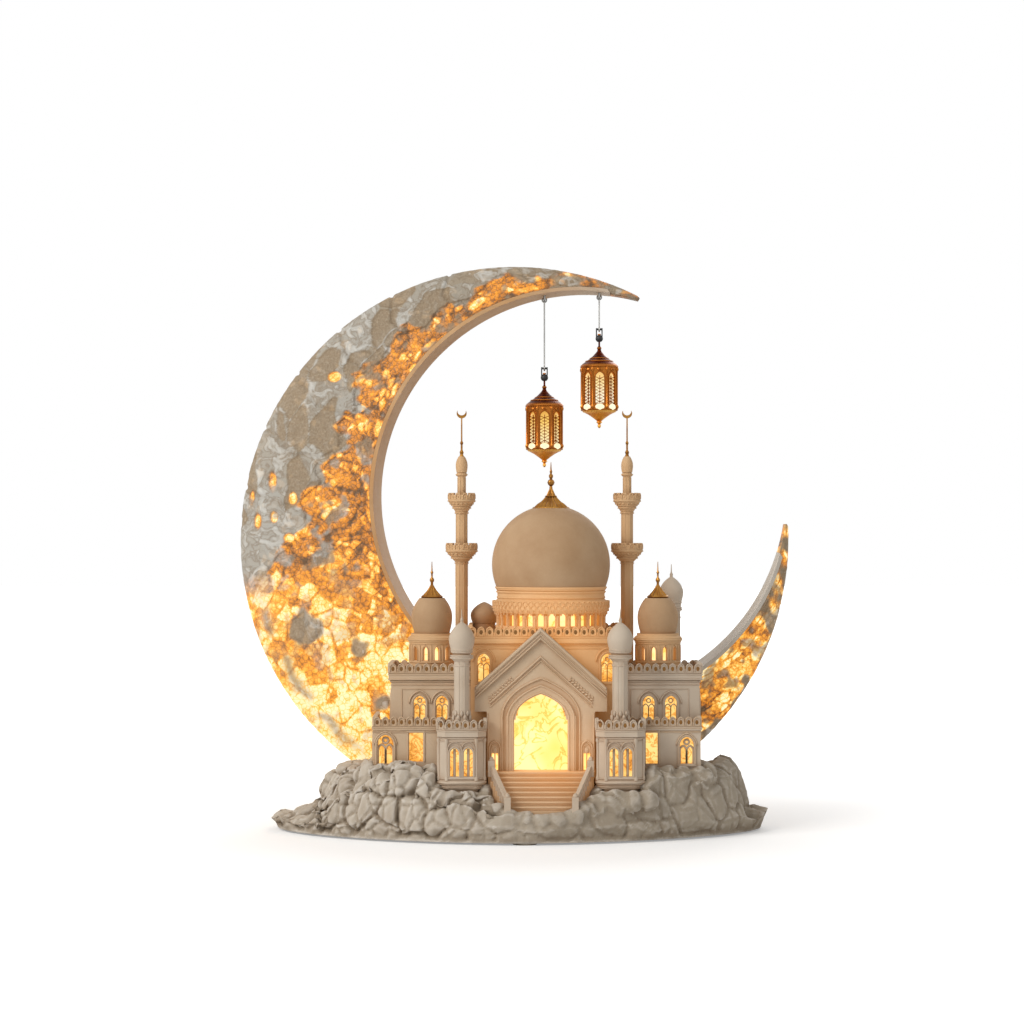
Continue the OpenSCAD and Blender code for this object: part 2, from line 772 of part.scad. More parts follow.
module battery_contacts() {
  color(steel)
    for (side = [-1, 1], i = [-1:1])
      translate([
        holder_x + side * (holder_l / 2 - contact_t / 2),
        hollow_y + i * cell_pitch,
        plate_top + 0.6])
        union() {
          block(contact_t, cell_d - 2, cell_d - 1);
          translate([-side * (contact_room / 2 - fit / 2), 0, cell_d / 2])
            rotate([0, 90, 0])
              cylinder(r = 2.4, h = contact_room - fit - contact_t, center = true);
        }
}

module battery_door() {
  color(dark)
    union() {
      span_box(
        [holder_x - door_l / 2, door_axis_y, plate_under],
        [holder_x + door_l / 2, hollow_y + door_d / 2, plate_top]);
      translate([holder_x - door_l / 2, door_axis_y, door_axis_z])
        rotate([0, 90, 0])
          cylinder(r = plate_t / 2, h = door_l);
      translate([holder_x - door_l / 2 - door_pin_l, door_axis_y, door_axis_z])
        rotate([0, 90, 0])
          cylinder(r = door_pin_r, h = door_l + 2 * door_pin_l);
    }
}

module switch_body() {
  flange_room = switch_flange_h + 2 * fit;
  color(steel)
    difference() {
      translate([switch_x + switch_travel / 2, switch_y, plate_top])
        block(switch_key_l + switch_travel + 4, switch_flange_w + 4, flange_room + 3);
      translate([switch_x + switch_travel / 2, switch_y, plate_top - cut])
        block(switch_key_l + switch_travel + 4 * fit, switch_flange_w + 2 * fit, flange_room + cut);
    }
}

module switch_slider() {
  color("white")
    union() {
      translate([switch_x, switch_y, plate_under + 0.3])
        block(switch_key_l, switch_stem_w, plate_t + fit);
      translate([switch_x, switch_y, plate_top + fit])
        block(switch_key_l, switch_flange_w, switch_flange_h);
    }
}

module led_board() {
  color("#e9ece6")
    union() {
      difference() {
        translate([board_x, board_y, board_z])
          block(board_l, board_d, board_t);
        for (sx = [-1, 1], sy = [-1, 1])
          translate([board_x + sx * (board_l / 2 - 4), board_y + sy * (board_d / 2 - 4), board_z - cut])
            cylinder(r = 0.9 + run_fit, h = board_t + 2 * cut);
      }
      for (i = [-1:1], j = [-1:1])
        translate([board_x + i * board_l / 4, board_y + j * board_d / 5, board_z + board_t])
          block(3.5, 3.5, 1.4);
    }
}

module wiring() {
  board_edge = board_x - board_l / 2;
  board_lead_z = board_z + board_t + lead_d / 2 + 0.1;
  cell_lead_y = hollow_y - holder_d / 4;
  strip_r = opening_r(moon_y) + rim_t + fit + strip_t;
  strip_z = opening_z - sqrt(pow(strip_r, 2) - pow(lead_x - opening_x, 2));
  color("#c23b2c")
    union() {
      lead([
        [holder_x + holder_l / 2, cell_lead_y, plate_top + cell_d / 2],
        [lead_x, cell_lead_y, plate_top + cell_d / 2],
        [lead_x, hollow_y - 4, board_lead_z],
        [board_edge + 3, hollow_y - 4, board_lead_z]]);
      lead([
        [board_edge + 3, hollow_y + 4, board_lead_z],
        [lead_x, hollow_y + 4, board_lead_z],
        [lead_x, lead_y - 4, lead_z],
        [lead_x, moon_y, lead_z],
        [lead_x, moon_y, strip_z - fit]]);
    }
}

// Terrace and stairs

module terrace_outline(grow) {
  offset_low = [wing_left - slab_lip - grow, wing_front - grow];
  translate(offset_low)
    square([wing_right - wing_left + 2 * slab_lip + 2 * grow, hall_back + slab_lip - wing_front + 2 * grow]);
  translate([portal_x - portal_w / 2 - grow, landing_front - grow])
    square([portal_w + 2 * grow, landing_d + 2 * grow]);
}

module terrace() {
  color(plaster)
    difference() {
      raised(slab_under, slab_t)
        terrace_outline(0);
      translate([mosque_x, hall_mid_y, slab_under - cut])
        block(light_well_w, light_well_d, slab_t + 2 * cut);
    }
}

function stairs_w(i) = stairs_foot_w + (stairs_top_w - stairs_foot_w) * i / (step_count - 1);

// Room that the stairs and their rails take up in the rock
module stairs_room() {
  room_w = stairs_top_w + 2 * post_w + 4 * fit;
  translate([portal_x - room_w / 2, stairs_front - post_w - fit, stairs_under])
    cube([room_w, landing_front - stairs_front + post_w + 2 * fit, rock_crown_h]);
}

module front_stairs() {
  color(plaster)
    union()
      for (i = [0:step_count - 1])
        translate([
          portal_x - stairs_w(i) / 2 - post_w,
          landing_front - fit - (step_count - i) * step_run,
          stairs_under])
          cube([
            stairs_w(i) + 2 * post_w,
            (step_count - i) * step_run,
            stairs_foot_z - stairs_under + i * step_rise]);
}

// Right balustrade, from the stairs' foot up to the landing
module stair_rail() {
  foot = [stairs_w(0) / 2, stairs_front - post_w - fit];
  top = [stairs_w(step_count - 1) / 2, landing_front - fit - post_w];
  low_z = stairs_foot_z + rail_h - 1;
  climb = (step_count - 1) * step_rise;
  run = norm(top - foot);
  union() {
    translate([foot[0], foot[1], stairs_under])
      turned_post(stairs_foot_z - stairs_under + post_h - 1);
    translate([top[0], top[1], stairs_foot_z + climb])
      turned_post(post_h);
    for (i = [0:step_count - 2])
      let (
        y = landing_front - fit - (step_count - i - 0.5) * step_run,
        share = (y - foot[1] - post_w / 2) / (top[1] - foot[1]))
        translate([foot[0] + share * (top[0] - foot[0]) + post_w / 2, y, stairs_foot_z + i * step_rise])
          cylinder(r = 0.6, h = low_z + share * climb - stairs_foot_z - i * step_rise + 0.8, $fn = 16);
    translate([foot[0] + post_w / 2, foot[1] + post_w / 2, low_z])
      rotate([0, 0, -atan2(top[0] - foot[0], top[1] - foot[1])])
        rotate([atan2(climb, run), 0, 0])
          translate([-1, 0, 0])
            cube([2, sqrt(pow(run, 2) + pow(climb, 2)), 1.6]);
  }
}

module turned_post(h) {
  cube([post_w, post_w, h]);
  translate([post_w / 2, post_w / 2, h])
    turned([[post_w * 0.42, 0], [post_w * 0.42, 0.5], [post_w * 0.3, 1.4], [0.2, 2]]);
}

module stair_rails() {
  color(plaster)
    for (side = [0, 1])
      translate([portal_x, 0, 0])
        mirror([side, 0, 0])
          stair_rail();
}

// Hall and portal

// A flat outline at the portal, made solid from y0 back to y1 and set lower if need be
module at_portal(y0, y1, down = 0) {
  translate([portal_x, 0, floor_z - down])
    upright(y0, y1)
      children();
}

module portal_outline(grow) {
  half = portal_w / 2 + grow;
  gable = gable_w / 2 + grow;
  polygon([
    [-half, -cut * sign(grow)], [-half, shoulder_h - grow],
    [-gable, shoulder_h - grow], [-gable, eaves_h + grow / 2],
    [0, peak_h + 1.4 * grow],
    [gable, eaves_h + grow / 2], [gable, shoulder_h - grow],
    [half, shoulder_h - grow], [half, -cut * sign(grow)]]);
}

// Places of the hall's windows in its front and back walls
function front_window(side) = [mosque_x + side * hall_window_dx, hall_front, floor_z + hall_window_z];
function back_window(i) = [mosque_x + i * back_window_dx, hall_back, floor_z + back_window_z];

module central_hall() {
  color(plaster)
    difference() {
      union() {
        translate([mosque_x, hall_mid_y, floor_z])
          storey(hall_w, hall_d, hall_h);
        for (side = [-1, 1])
          arch_frame(front_window(side), 0, hall_window_w, hall_window_h);
        for (i = [-1:1])
          arch_frame(back_window(i), 180, back_window_w, back_window_h);
      }
      translate([mosque_x, hall_mid_y, floor_z - cut])
        block(hall_w - 2 * wall, hall_d - 2 * wall, hall_h - wall + cut);
      translate([dome_x, hall_mid_y, hall_top - wall - cut])
        cylinder(r = drum_r - 4, h = wall + 2 * cut);
      at_portal(hall_front - 2 * cut, hall_front + wall + cut)
        pointed_arch(door_w - 2, door_h - 1, door_rise);
      for (side = [-1, 1])
        arch_hole(front_window(side), 0, hall_window_w, hall_window_h);
      for (i = [-1:1])
        arch_hole(back_window(i), 180, back_window_w, back_window_h);
      at_portal(portal_front - border_out - cut, hall_front)
        portal_outline(fit);
    }
}

module portal() {
  color(plaster)
    difference() {
      union() {
        at_portal(portal_front, portal_back)
          portal_outline(0);
        at_portal(portal_front - border_out, portal_front + cut)
          difference() {
            polygon([[-gable_w / 2, eaves_h - border_w], [-gable_w / 2, eaves_h], [0, peak_h],
              [gable_w / 2, eaves_h], [gable_w / 2, eaves_h - border_w]]);
            polygon([[-gable_w / 2 - cut, eaves_h - border_w - cut], [0, peak_h - 1.5 * border_w],
              [gable_w / 2 + cut, eaves_h - border_w - cut]]);
          }
        at_portal(portal_front - border_out, portal_front + cut)
          pointed_arch(door_w + 2 * border_w, door_h + border_w, door_rise + border_w / 2);
      }
      at_portal(portal_front - border_out - cut, portal_back + cut, cut)
        pointed_arch(door_w, door_h + cut, door_rise);
      at_portal(portal_back - sheet_t - 2 * fit, portal_back + cut, cut)
        pointed_arch(door_w + 3, door_h + 1.5 + cut, door_rise);
    }
}

module portal_panel() {
  color(amber)
    at_portal(portal_back - fit - sheet_t, portal_back - fit)
      pointed_arch(door_w + 3 - 2 * fit, door_h + 1.5 - fit, door_rise);
}

// Drum and main dome

module hall_drum() {
  arch_z = 5;
  color(plaster)
    translate([dome_x, hall_mid_y, hall_top])
      difference() {
        turned([
          [drum_r, 0], [drum_r, flare_z - 0.6], [drum_r + flare_out * 0.6, flare_z],
          [drum_r + flare_out, flare_z + 2],
          [drum_r + flare_out, flare_z + flare_h - 1], [drum_r + 0.6, flare_z + flare_h],
          [drum_r + 0.2, flare_z + flare_h + 0.4], [drum_r + 0.2, drum_h - 1.4],
          [dome_foot_r + 0.6, drum_h - 0.8],
          [dome_foot_r + 0.6, drum_h]]);
        translate([0, 0, -cut])
          cylinder(r = drum_r - wall, h = drum_h + 2 * cut);
        for (i = [0:drum_arches - 1])
          rotate([0, 0, 360 * i / drum_arches])
            translate([0, -drum_r, arch_z])
              upright(-cut, wall + cut)
                pointed_arch(drum_arch_w, drum_arch_h, drum_arch_w * 0.6);
      }
}

module drum_diffuser() {
  color(amber)
    translate([dome_x, hall_mid_y, hall_top])
      difference() {
        cylinder(r = drum_r - wall - fit, h = flare_z + flare_h);
        translate([0, 0, -cut])
          cylinder(r = drum_r - wall - fit - sheet_t, h = flare_z + flare_h + 2 * cut);
      }
}

module main_dome() {
  color(plaster)
    translate([dome_x, hall_mid_y, dome_z])
      difference() {
        sphere(dome_r, $fn = 96);
        sphere(dome_r - dome_wall, $fn = 96);
        translate([0, 0, -dome_lift - 2 * dome_r])
          block(3 * dome_r, 3 * dome_r, 2 * dome_r);
      }
}

// Fluted gold cap that sits on the dome, with its ribs
module main_dome_cap() {
  ribs = 20;
  color(gold)
    translate([dome_x, hall_mid_y, 0])
      difference() {
        translate([0, 0, cap_z])
          union() {
            turned([
              [cap_r, -1.2], [cap_r + 0.4, -0.4], [cap_r - 0.2, 0.4], [cap_r * 0.72, cap_h * 0.22],
              [cap_r * 0.46, cap_h * 0.42], [cap_r * 0.24, cap_h * 0.7], [1, cap_h]]);
            for (i = [0:ribs - 1])
              rotate([0, 0, 360 * i / ribs])
                translate([cap_r - 0.3, 0, -0.5])
                  sphere(0.7, $fn = 16);
          }
        translate([0, 0, dome_z])
          sphere(dome_r + fit, $fn = 96);
      }
}

module main_dome_finial() {
  color(gold)
    translate([dome_x, hall_mid_y, cap_z + cap_h])
      turned([
        [0.9, 0], [0.7, spire_h * 0.12], [1.5, spire_h * 0.18], [1.9, spire_h * 0.26], [1.4, spire_h * 0.34],
        [0.6, spire_h * 0.38], [1.1, spire_h * 0.46], [1.1, spire_h * 0.52], [0.5, spire_h * 0.58],
        [0.7, spire_h * 0.66], [0.4, spire_h * 0.72], [0.15, spire_h]]);
}

// Towers, wings and domes at the sides

// Room that the hall takes up beside a tower
module hall_room() {
  translate([mosque_x, hall_mid_y, floor_z - cut])
    block(hall_w + 2 * fit, hall_d + 2 * fit, 2 * hall_h);
}

module tower(side) {
  x = mosque_x + side * tower_dx;
  z = floor_z + tower_window_z;
  places = [for (i = [-1, 1], p = [
    [[x + i * 5.6, tower_front, z], 0], [[x + i * 5.6, tower_back, z], 180],
    [[x + side * tower_w / 2, tower_mid_y + i * 7, z], side * 90]]) p];
  color(plaster)
    difference() {
      union() {
        translate([x, tower_mid_y, floor_z])
          storey(tower_w, tower_d, tower_h);
        for (p = places)
          arch_frame(p[0], p[1], tower_window_w, tower_window_h);
      }
      translate([x, tower_mid_y, floor_z - cut])
        block(tower_w - 2 * wall, tower_d - 2 * wall, tower_h - wall + cut);
      translate([x, tower_mid_y, tower_top - wall - cut])
        cylinder(r = side_drum_r - 3, h = wall + 2 * cut);
      for (p = places)
        arch_hole(p[0], p[1], tower_window_w, tower_window_h);
      hall_room();
    }
}

// Low storey in front of a tower, from its flat outline and its windows
module left_wing() {
  right_end = mosque_x - hall_w / 2 - fit;
  inner_x = wing_left + wing_side - fit;
  arch_x = wing_left + 6.2;
  color(plaster)
    difference() {
      union() {
        raised(floor_z, wing_h)
          wing_outline(inner_x, right_end, 0);
        raised(floor_z + wing_h - cornice_h / 2, cornice_h / 2)
          wing_outline(inner_x, right_end, cornice_out / 2);
        translate([wing_left, wing_front, floor_z + wing_h])
          upright(0, parapet_t)
            battlement(right_end - wing_left);
        translate([wing_left, wing_front + wing_side_l, floor_z + wing_h])
          rotate([0, 0, -90])
            upright(0, parapet_t)
              battlement(wing_side_l);
        arch_frame([arch_x, wing_front, floor_z + 3], 0, 8, wing_window_h);
        for (i = [1, 2])
          arch_frame([wing_left, wing_front + i * wing_side_l / 3, floor_z + 3], -90, 7, wing_window_h);
      }
      raised(floor_z - cut, wing_h - wall + cut)
        wing_outline(inner_x, right_end, -wall);
      arch_hole([arch_x, wing_front, floor_z + 3], 0, 8, wing_window_h);
      for (i = [1, 2])
        arch_hole([wing_left, wing_front + i * wing_side_l / 3, floor_z + 3], -90, 7, wing_window_h);
      translate([wing_left + 21.5, wing_front, floor_z + 4])
        block(7, 3 * wall, wing_window_h);
    }
}

// Flat outline of the left wing, round its tower's corner
module wing_outline(inner_x, right_end, grow) {
  polygon([
    [wing_left - grow, wing_front - grow], [right_end, wing_front - grow],
    [right_end, wing_front + wing_d + min(grow, 0)],
    [inner_x + min(grow, 0), wing_front + wing_d + min(grow, 0)],
    [inner_x + min(grow, 0), wing_front + wing_side_l + grow],
    [wing_left - grow, wing_front + wing_side_l + grow]]);
}

module right_wing() {
  left_end = mosque_x + hall_w / 2 + fit;
  w = wing_right - left_end;
  mid_x = left_end + w / 2;
  mid_y = wing_front + wing_d / 2;
  arch_x = wing_right - 7;
  color(plaster)
    difference() {
      union() {
        translate([mid_x, mid_y, floor_z])
          block(w, wing_d, wing_h);
        translate([mid_x + cornice_out / 4, mid_y - cornice_out / 4, floor_z + wing_h - cornice_h / 2])
          block(w + cornice_out / 2, wing_d + cornice_out / 2, cornice_h / 2);
        translate([left_end, wing_front, floor_z + wing_h])
          upright(0, parapet_t)
            battlement(w);
        translate([wing_right, wing_front, floor_z + wing_h])
          rotate([0, 0, 90])
            upright(0, parapet_t)
              battlement(wing_d);
        arch_frame([arch_x, wing_front, floor_z + 3], 0, 7, wing_window_h - 1);
      }
      translate([mid_x, mid_y, floor_z - cut])
        block(w - 2 * wall, wing_d - 2 * wall, wing_h - wall + cut);
      arch_hole([arch_x, wing_front, floor_z + 3], 0, 7, wing_window_h - 1);
      translate([left_end + 15.5, wing_front, floor_z + 3])
        block(6, 3 * wall, wing_window_h + 2);
    }
}

module side_drums() {
  slots = 12;
  color(plaster)
    for (side = [-1, 1])
      translate([mosque_x + side * tower_dx, tower_mid_y, tower_top])
        difference() {
          turned([
            [side_drum_r, 0], [side_drum_r, side_drum_h - 5], [side_drum_r + 0.8, side_drum_h - 4],
            [side_drum_r + 0.8, side_drum_h - 2], [side_drum_r - 0.6, side_drum_h - 1],
            [side_drum_r - 0.6, side_drum_h]]);
          translate([0, 0, -cut])
            cylinder(r = side_drum_r - wall, h = side_drum_h - wall + cut);
          for (i = [0:slots - 1])
            rotate([0, 0, 360 * (i + 0.5) / slots])
              translate([0, -side_drum_r, parapet_h + tooth_h + 1])
                upright(-cut, wall + cut)
                  pointed_arch(2.2, 7, 2.2);
        }
}

module side_domes() {
  color(plaster)
    for (side = [-1, 1])
      translate([mosque_x + side * tower_dx, tower_mid_y, side_drum_top])
        difference() {
          onion(side_dome_r, side_dome_h + 5);
          translate([0, 0, side_dome_h])
            block(4 * side_dome_r, 4 * side_dome_r, side_dome_h);
        }
}

module side_dome_caps() {
  h = side_cap_h;
  color(gold)
    for (side = [-1, 1])
      translate([mosque_x + side * tower_dx, tower_mid_y, side_cap_z])
        turned([
          [side_cap_r + 0.5, 0], [side_cap_r + 0.7, 0.7], [side_cap_r, 1.4], [side_cap_r * 0.66, h * 0.16],
          [side_cap_r * 0.34, h * 0.28], [0.7, h * 0.36], [0.6, h * 0.42], [1.1, h * 0.47], [1.1, h * 0.52],
          [0.45, h * 0.57], [0.45, h * 0.66], [0.75, h * 0.7], [0.35, h * 0.75], [0.15, h]]);
}

// Upright amber sheet behind a wall: middle, angle, length and height
module sheet(place, angle, l, h) {
  translate(place)
    rotate([0, 0, angle])
      translate([-l / 2, fit, 0])
        cube([l, sheet_t, h]);
}

module window_panels() {
  tower_sheet_z = floor_z + tower_window_z - sheet_lap;
  tower_sheet_h = tower_window_h + 2.5 * sheet_lap;
  color(amber)
    for (side = [-1, 1]) {
      x = mosque_x + side * tower_dx;
      sheet([x, tower_front + wall, tower_sheet_z], 0, tower_w - 2 * wall - 4 * sheet_t, tower_sheet_h);
      sheet([x, tower_back - wall, tower_sheet_z], 180, tower_w - 2 * wall - 4 * sheet_t, tower_sheet_h);
      sheet([x + side * (tower_w / 2 - wall), tower_mid_y, tower_sheet_z], side * 90,
        tower_d - 2 * wall - 4 * sheet_t, tower_sheet_h);
      sheet(front_window(side) + [0, wall, -sheet_lap], 0,
        hall_window_w + sheet_lap, hall_window_h + 2 * sheet_lap);
      sheet([
        portal_x + side * pavilion_dx,
        pavilion_front + pavilion_inset + wall + 0.6,
        pavilion_seat + corbel_h + 1], 0,
        pavilion_w - 2 * (pavilion_inset + wall + pavilion_bevel) + 1.2, 18);
    }
  color(amber)
    union() {
      sheet(back_window(0) - [0, wall, sheet_lap], 180,
        2 * back_window_dx + back_window_w + 3 * sheet_lap, back_window_h + 2 * sheet_lap);
      sheet([(wing_left + mosque_x - hall_w / 2) / 2, wing_front + wall, floor_z + 1], 0,
        mosque_x - hall_w / 2 - wing_left - 2 * wall - 4 * sheet_t, wing_window_h + 4);
      sheet([wing_left + wall, wing_front + wing_side_l / 2 + wall, floor_z + 1], -90,
        wing_side_l - 4 * wall - 4 * sheet_t, wing_window_h + 4);
      sheet([mosque_x + tower_dx, wing_front + wall, floor_z + 1], 0,
        tower_w - 2 * wall - 2, wing_window_h + 3);
    }
}

// Front pavilions and their turrets

module bevelled(inset) {
  half_w = pavilion_w / 2 - inset;
  half_d = pavilion_d / 2 - inset;
  b = pavilion_bevel;
  polygon([
    [-half_w + b, -half_d], [half_w - b, -half_d], [half_w, -half_d + b], [half_w, half_d], [-half_w, half_d],
    [-half_w, -half_d + b]]);
}

module pavilion(side) {
  window_w = 4.4;
  window_h = 14;
  body_z = corbel_h;
  top_z = corbel_h + pavilion_h;
  places = concat(
    [for (i = [-1, 1]) [[i * 3.4, -pavilion_d / 2 + pavilion_inset, body_z + 2], 0]],
    [[[side * (pavilion_w / 2 - pavilion_inset), 1, body_z + 2], side * 90]]);
  color(plaster)
    translate([portal_x + side * pavilion_dx, pavilion_mid_y, pavilion_seat])
      difference() {
        union() {
          for (step = [[3.4, 0, 2.2], [2.2, 2.2, 2], [1, 4.2, 2], [0.3, 6.2, 2.2]])
            raised(step[1], step[2])
              bevelled(step[0]);
          raised(corbel_h, pavilion_h)
            bevelled(pavilion_inset);
          raised(top_z - cornice_h, cornice_h)
            bevelled(0);
          translate([0, 0, top_z])
            difference() {
              linear_extrude(parapet_h)
                bevelled(0);
              raised(-cut, parapet_h + 2 * cut)
                bevelled(parapet_t);
            }
          translate([-pavilion_w / 2 + pavilion_bevel, -pavilion_d / 2, top_z])
            upright(0, parapet_t)
              battlement(pavilion_w - 2 * pavilion_bevel);
          for (end = [-1, 1])
            translate([end * (pavilion_w / 2 - parapet_t / 2), -pavilion_d / 2 + pavilion_bevel, top_z])
              rotate([0, 0, 90])
                upright(-parapet_t / 2, parapet_t / 2)
                  battlement(pavilion_d - pavilion_bevel);
          for (p = places)
            arch_frame(p[0], p[1], window_w, window_h);
        }
        raised(corbel_h, pavilion_h - wall)
          bevelled(wall + pavilion_inset);
        for (p = places)
          arch_hole(p[0], p[1], window_w, window_h);
      }
}

// Slim tower with a collar, a bulb and a short spire, standing on the origin
module slim_tower(r, h, bulb_r) {
  collar = bulb_r * 0.86;
  union() {
    turned([
      [r + 1.8, 0], [r + 1.8, 3], [r + 0.6, 4], [r, 5.4], [r, h - 1.2], [collar - 0.6, h],
      [collar, h + 0.6], [collar, h + 1.8], [r + 0.4, h + 2.4], [collar - 0.2, h + 3.4],
      [collar - 0.2, h + 5]]);
    translate([0, 0, h + 5])
      onion(bulb_r, 2.1 * bulb_r);
    translate([0, 0, h + 5 + 2 * bulb_r])
      turned([[1.3, -0.6], [0.7, 0.8], [0.9, 1.6], [0.5, 2.4], [0.3, 3.2], [0.15, 7]]);
  }
}

module turret(side) {
  color(plaster)
    translate([portal_x + side * pavilion_dx, pavilion_mid_y, pavilion_top])
      slim_tower(turret_r, turret_h, turret_bulb_r);
}

module rear_turret() {
  color(plaster)
    translate([rear_turret_x, rear_turret_y, floor_z])
      slim_tower(rear_turret_r - 0.6, rear_turret_h, rear_turret_r + 1);
}

module rear_cupola() {
  foot_h = 5.2;
  color(plaster)
    translate([cupola_x, cupola_y, hall_top])
      union() {
        cylinder(r = cupola_r - 1.4, h = foot_h);
        translate([0, 0, foot_h])
          onion(cupola_r, 11);
      }
}

// Minarets

module balcony(r) {
  difference() {
    union() {
      turned([[minaret_r, 0], [r * 0.62, 2], [r * 0.72, 3.4], [r, 5.6], [r, 6.4]]);
      translate([0, 0, 6.4])
        cylinder(r = r, h = 3.6, $fn = 12);
    }
    translate([0, 0, 7.2])
      cylinder(r = r - parapet_t, h = 4, $fn = 12);
    for (i = [0:11])
      rotate([0, 0, 30 * i])
        translate([r, 0, 9])
          block(2 * r / 3, 1.4, 3);
  }
}

module minaret(side) {
  lower_balcony = minaret_h - 55;
  upper_balcony = minaret_h - 29;
  color(plaster)
    translate([mosque_x + side * minaret_dx, minaret_y, floor_z])
      union() {
        block(minaret_plinth, minaret_plinth, 8);
        turned([
          [minaret_plinth / 2 - 0.4, 7], [minaret_plinth / 2 - 0.4, 9], [minaret_r + 0.6, 10.5],
          [minaret_r, 12], [minaret_r, lower_balcony + 5], [minaret_r - 0.2, lower_balcony + 7],
          [minaret_r - 0.2, upper_balcony + 5], [minaret_r - 1.1, upper_balcony + 8],
          [minaret_r - 1.1, minaret_h - 10.6], [minaret_r - 0.4, minaret_h - 10],
          [minaret_r - 0.4, minaret_h - 9], [minaret_r - 1, minaret_h - 8.4]]);
        translate([0, 0, lower_balcony])
          balcony(balcony_r);
        translate([0, 0, upper_balcony])
          balcony(balcony_r * 0.86);
        translate([0, 0, minaret_h - 8.4])
          difference() {
            onion(minaret_r - 0.1, 10);
            translate([0, 0, 8.4])
              block(10, 10, 4);
          }
      }
}

module minaret_finials() {
  stem = finial_h - 2 * finial_moon_r;
  color(gold)
    for (side = [-1, 1])
      translate([mosque_x + side * minaret_dx, minaret_y, floor_z + minaret_h])
        union() {
          turned([
            [1.2, 0], [0.8, 1], [1.1, 2.2], [0.5, 3.4], [0.5, 6], [0.9, 7], [0.4, 8], [0.35, stem + 0.6]]);
          translate([0, 0, stem + finial_moon_r])
            upright(-0.4, 0.4)
              difference() {
                circle(finial_moon_r);
                translate([0, finial_moon_r * 0.42])
                  circle(finial_moon_r * 0.82);
              }
        }
}

// Moon

// Quarter of the moon's outline from its pole to its rim, drawn in from the outside
function moon_arc(inset) =
  [for (a = [0:6:90]) [(moon_r - inset) * sin(a), (moon_half_depth - inset) * cos(a)]];

// Inner edge of the moon's crust: direction and share of the crescent's width
crust_edge = concat(
  [[78, 0.2], [86, 0.7], [93, 0.8], [99, 0.42], [106, 0.52], [113, 0.38], [120, 0.52], [127, 0.42],
    [134, 0.5], [140, 0.34], [146, 0.43], [152, 0.36], [158, 0.5], [164, 0.44], [170, 0.58], [176, 0.5],
    [182, 0.66], [187, 0.84]],
  [for (a = [193:10:263]) [a, 1]],
  [[273, 0.94], [282, 0.78], [290, 0.88], [300, 0.68], [310, 0.8], [320, 0.62], [330, 0.76], [338, 0.6],
    [346, 0.5], [350, 0.2]]);
// Crust that stands alone: direction, share of the width and reach
crust_islands = [[202, 0.66, 9], [214, 0.42, 6], [231, 0.55, 5], [310, 0.36, 7]];
// Directions of the cracks through the crust
crust_cracks = [103, 116, 129, 142, 155, 168];
crust_rim = 4;

// Place at a direction and a share of the crescent's width, as seen from the front
function crescent_point(a, share) =
  let (
    rise = opening_z - moon_z,
    toward = opening_x * cos(a) + rise * sin(a),
    inner = toward + sqrt(pow(toward, 2) - pow(opening_x, 2) - pow(rise, 2) + pow(opening_front_r, 2)))
  min(inner + share * (moon_r - inner), moon_r - crust_rim) * [cos(a), sin(a)];

// Lit skin of the moon, which lies lower than the crust, as seen from the front
module lit_skin() {
  inside = -0.2;
  crack_w = 0.7;
  difference() {
    polygon(concat(
      [for (e = crust_edge) crescent_point(e[0], e[1])],
      [for (i = [len(crust_edge) - 1:-1:0]) crescent_point(crust_edge[i][0], inside)]));
    for (s = crust_islands)
      translate(crescent_point(s[0], s[1]))
        rotate(s[0])
          circle(s[2], $fn = 6);
  }
  for (a = crust_cracks)
    polygon([
      crescent_point(a, 0.3), crescent_point(a + 3, 0.68), crescent_point(a, 1),
      crescent_point(a + crack_w, 1), crescent_point(a + crack_w + 3, 0.68),
      crescent_point(a + crack_w, 0.3)]);
}

module at_moon() {
  translate([0, moon_y, moon_z])
    rotate([90, 0, 0])
      children();
}

// The full moon, drawn in by an inset
module moon(inset) {
  half = moon_arc(inset);
  other = [for (i = [len(half) - 2:-1:0]) [half[i][0], -half[i][1]]];
  at_moon()
    rotate_extrude($fn = 96)
      polygon(concat(half, other));
}

// One shell of the moon towards the viewer (side 1) or away (side -1)
module moon_shell(side) {
  outer = moon_arc(0);
  inner = moon_arc(moon_wall);
  at_moon()
    mirror([0, 0, (1 - side) / 2])
      rotate_extrude($fn = 96)
        polygon(concat(outer, [for (i = [len(inner) - 1:-1:0]) inner[i]]));
}

// Round tapered core of the moon's opening, grown by a step
module opening_core(grow) {
  reach = 2 * moon_half_depth;
  translate([opening_x, moon_y + reach, opening_z])
    rotate([90, 0, 0])
      cylinder(
        r1 = opening_r(moon_y + reach) + grow,
        r2 = opening_r(moon_y - reach) + grow,
        h = 2 * reach,
        $fn = 96);
}

// All that lies past a distance from the moon's centre on the horns' side
module beyond(reach) {
  translate([0, moon_y, moon_z])
    rotate([0, -opening_angle, 0])
      translate([reach, -2 * moon_half_depth, -2 * moon_r])
        cube([2 * moon_r, 4 * moon_half_depth, 4 * moon_r]);
}

module under_moon() {
  translate([0, moon_y, moon_seat_z - moon_r])
    block(2 * moon_r, 4 * moon_half_depth, moon_r);
}

module crescent_shell(side) {
  color("#c9a36a")
    difference() {
      moon_shell(side);
      opening_core(0);
      difference() {
        opening_core(rim_t + fit);
        beyond(rim_reach + fit);
      }
      beyond(horn_reach);
      under_moon();
      difference() {
        at_moon()
          linear_extrude(4 * moon_half_depth, center = true)
            lit_skin();
        moon(crust_t);
      }
    }
}

module crescent_inner_rim() {
  color("#e8dcc8")
    difference() {
      intersection() {
        moon(0);
        opening_core(rim_t);
      }
      opening_core(0);
      beyond(rim_reach);
      for (x = [left_lantern_x, right_lantern_x], side = [-1, 1])
        translate([x, moon_y + side * staple_half, rim_under(x) - staple_drop])
          cylinder(r = bar_r + run_fit, h = staple_leg_l + cut);
    }
}

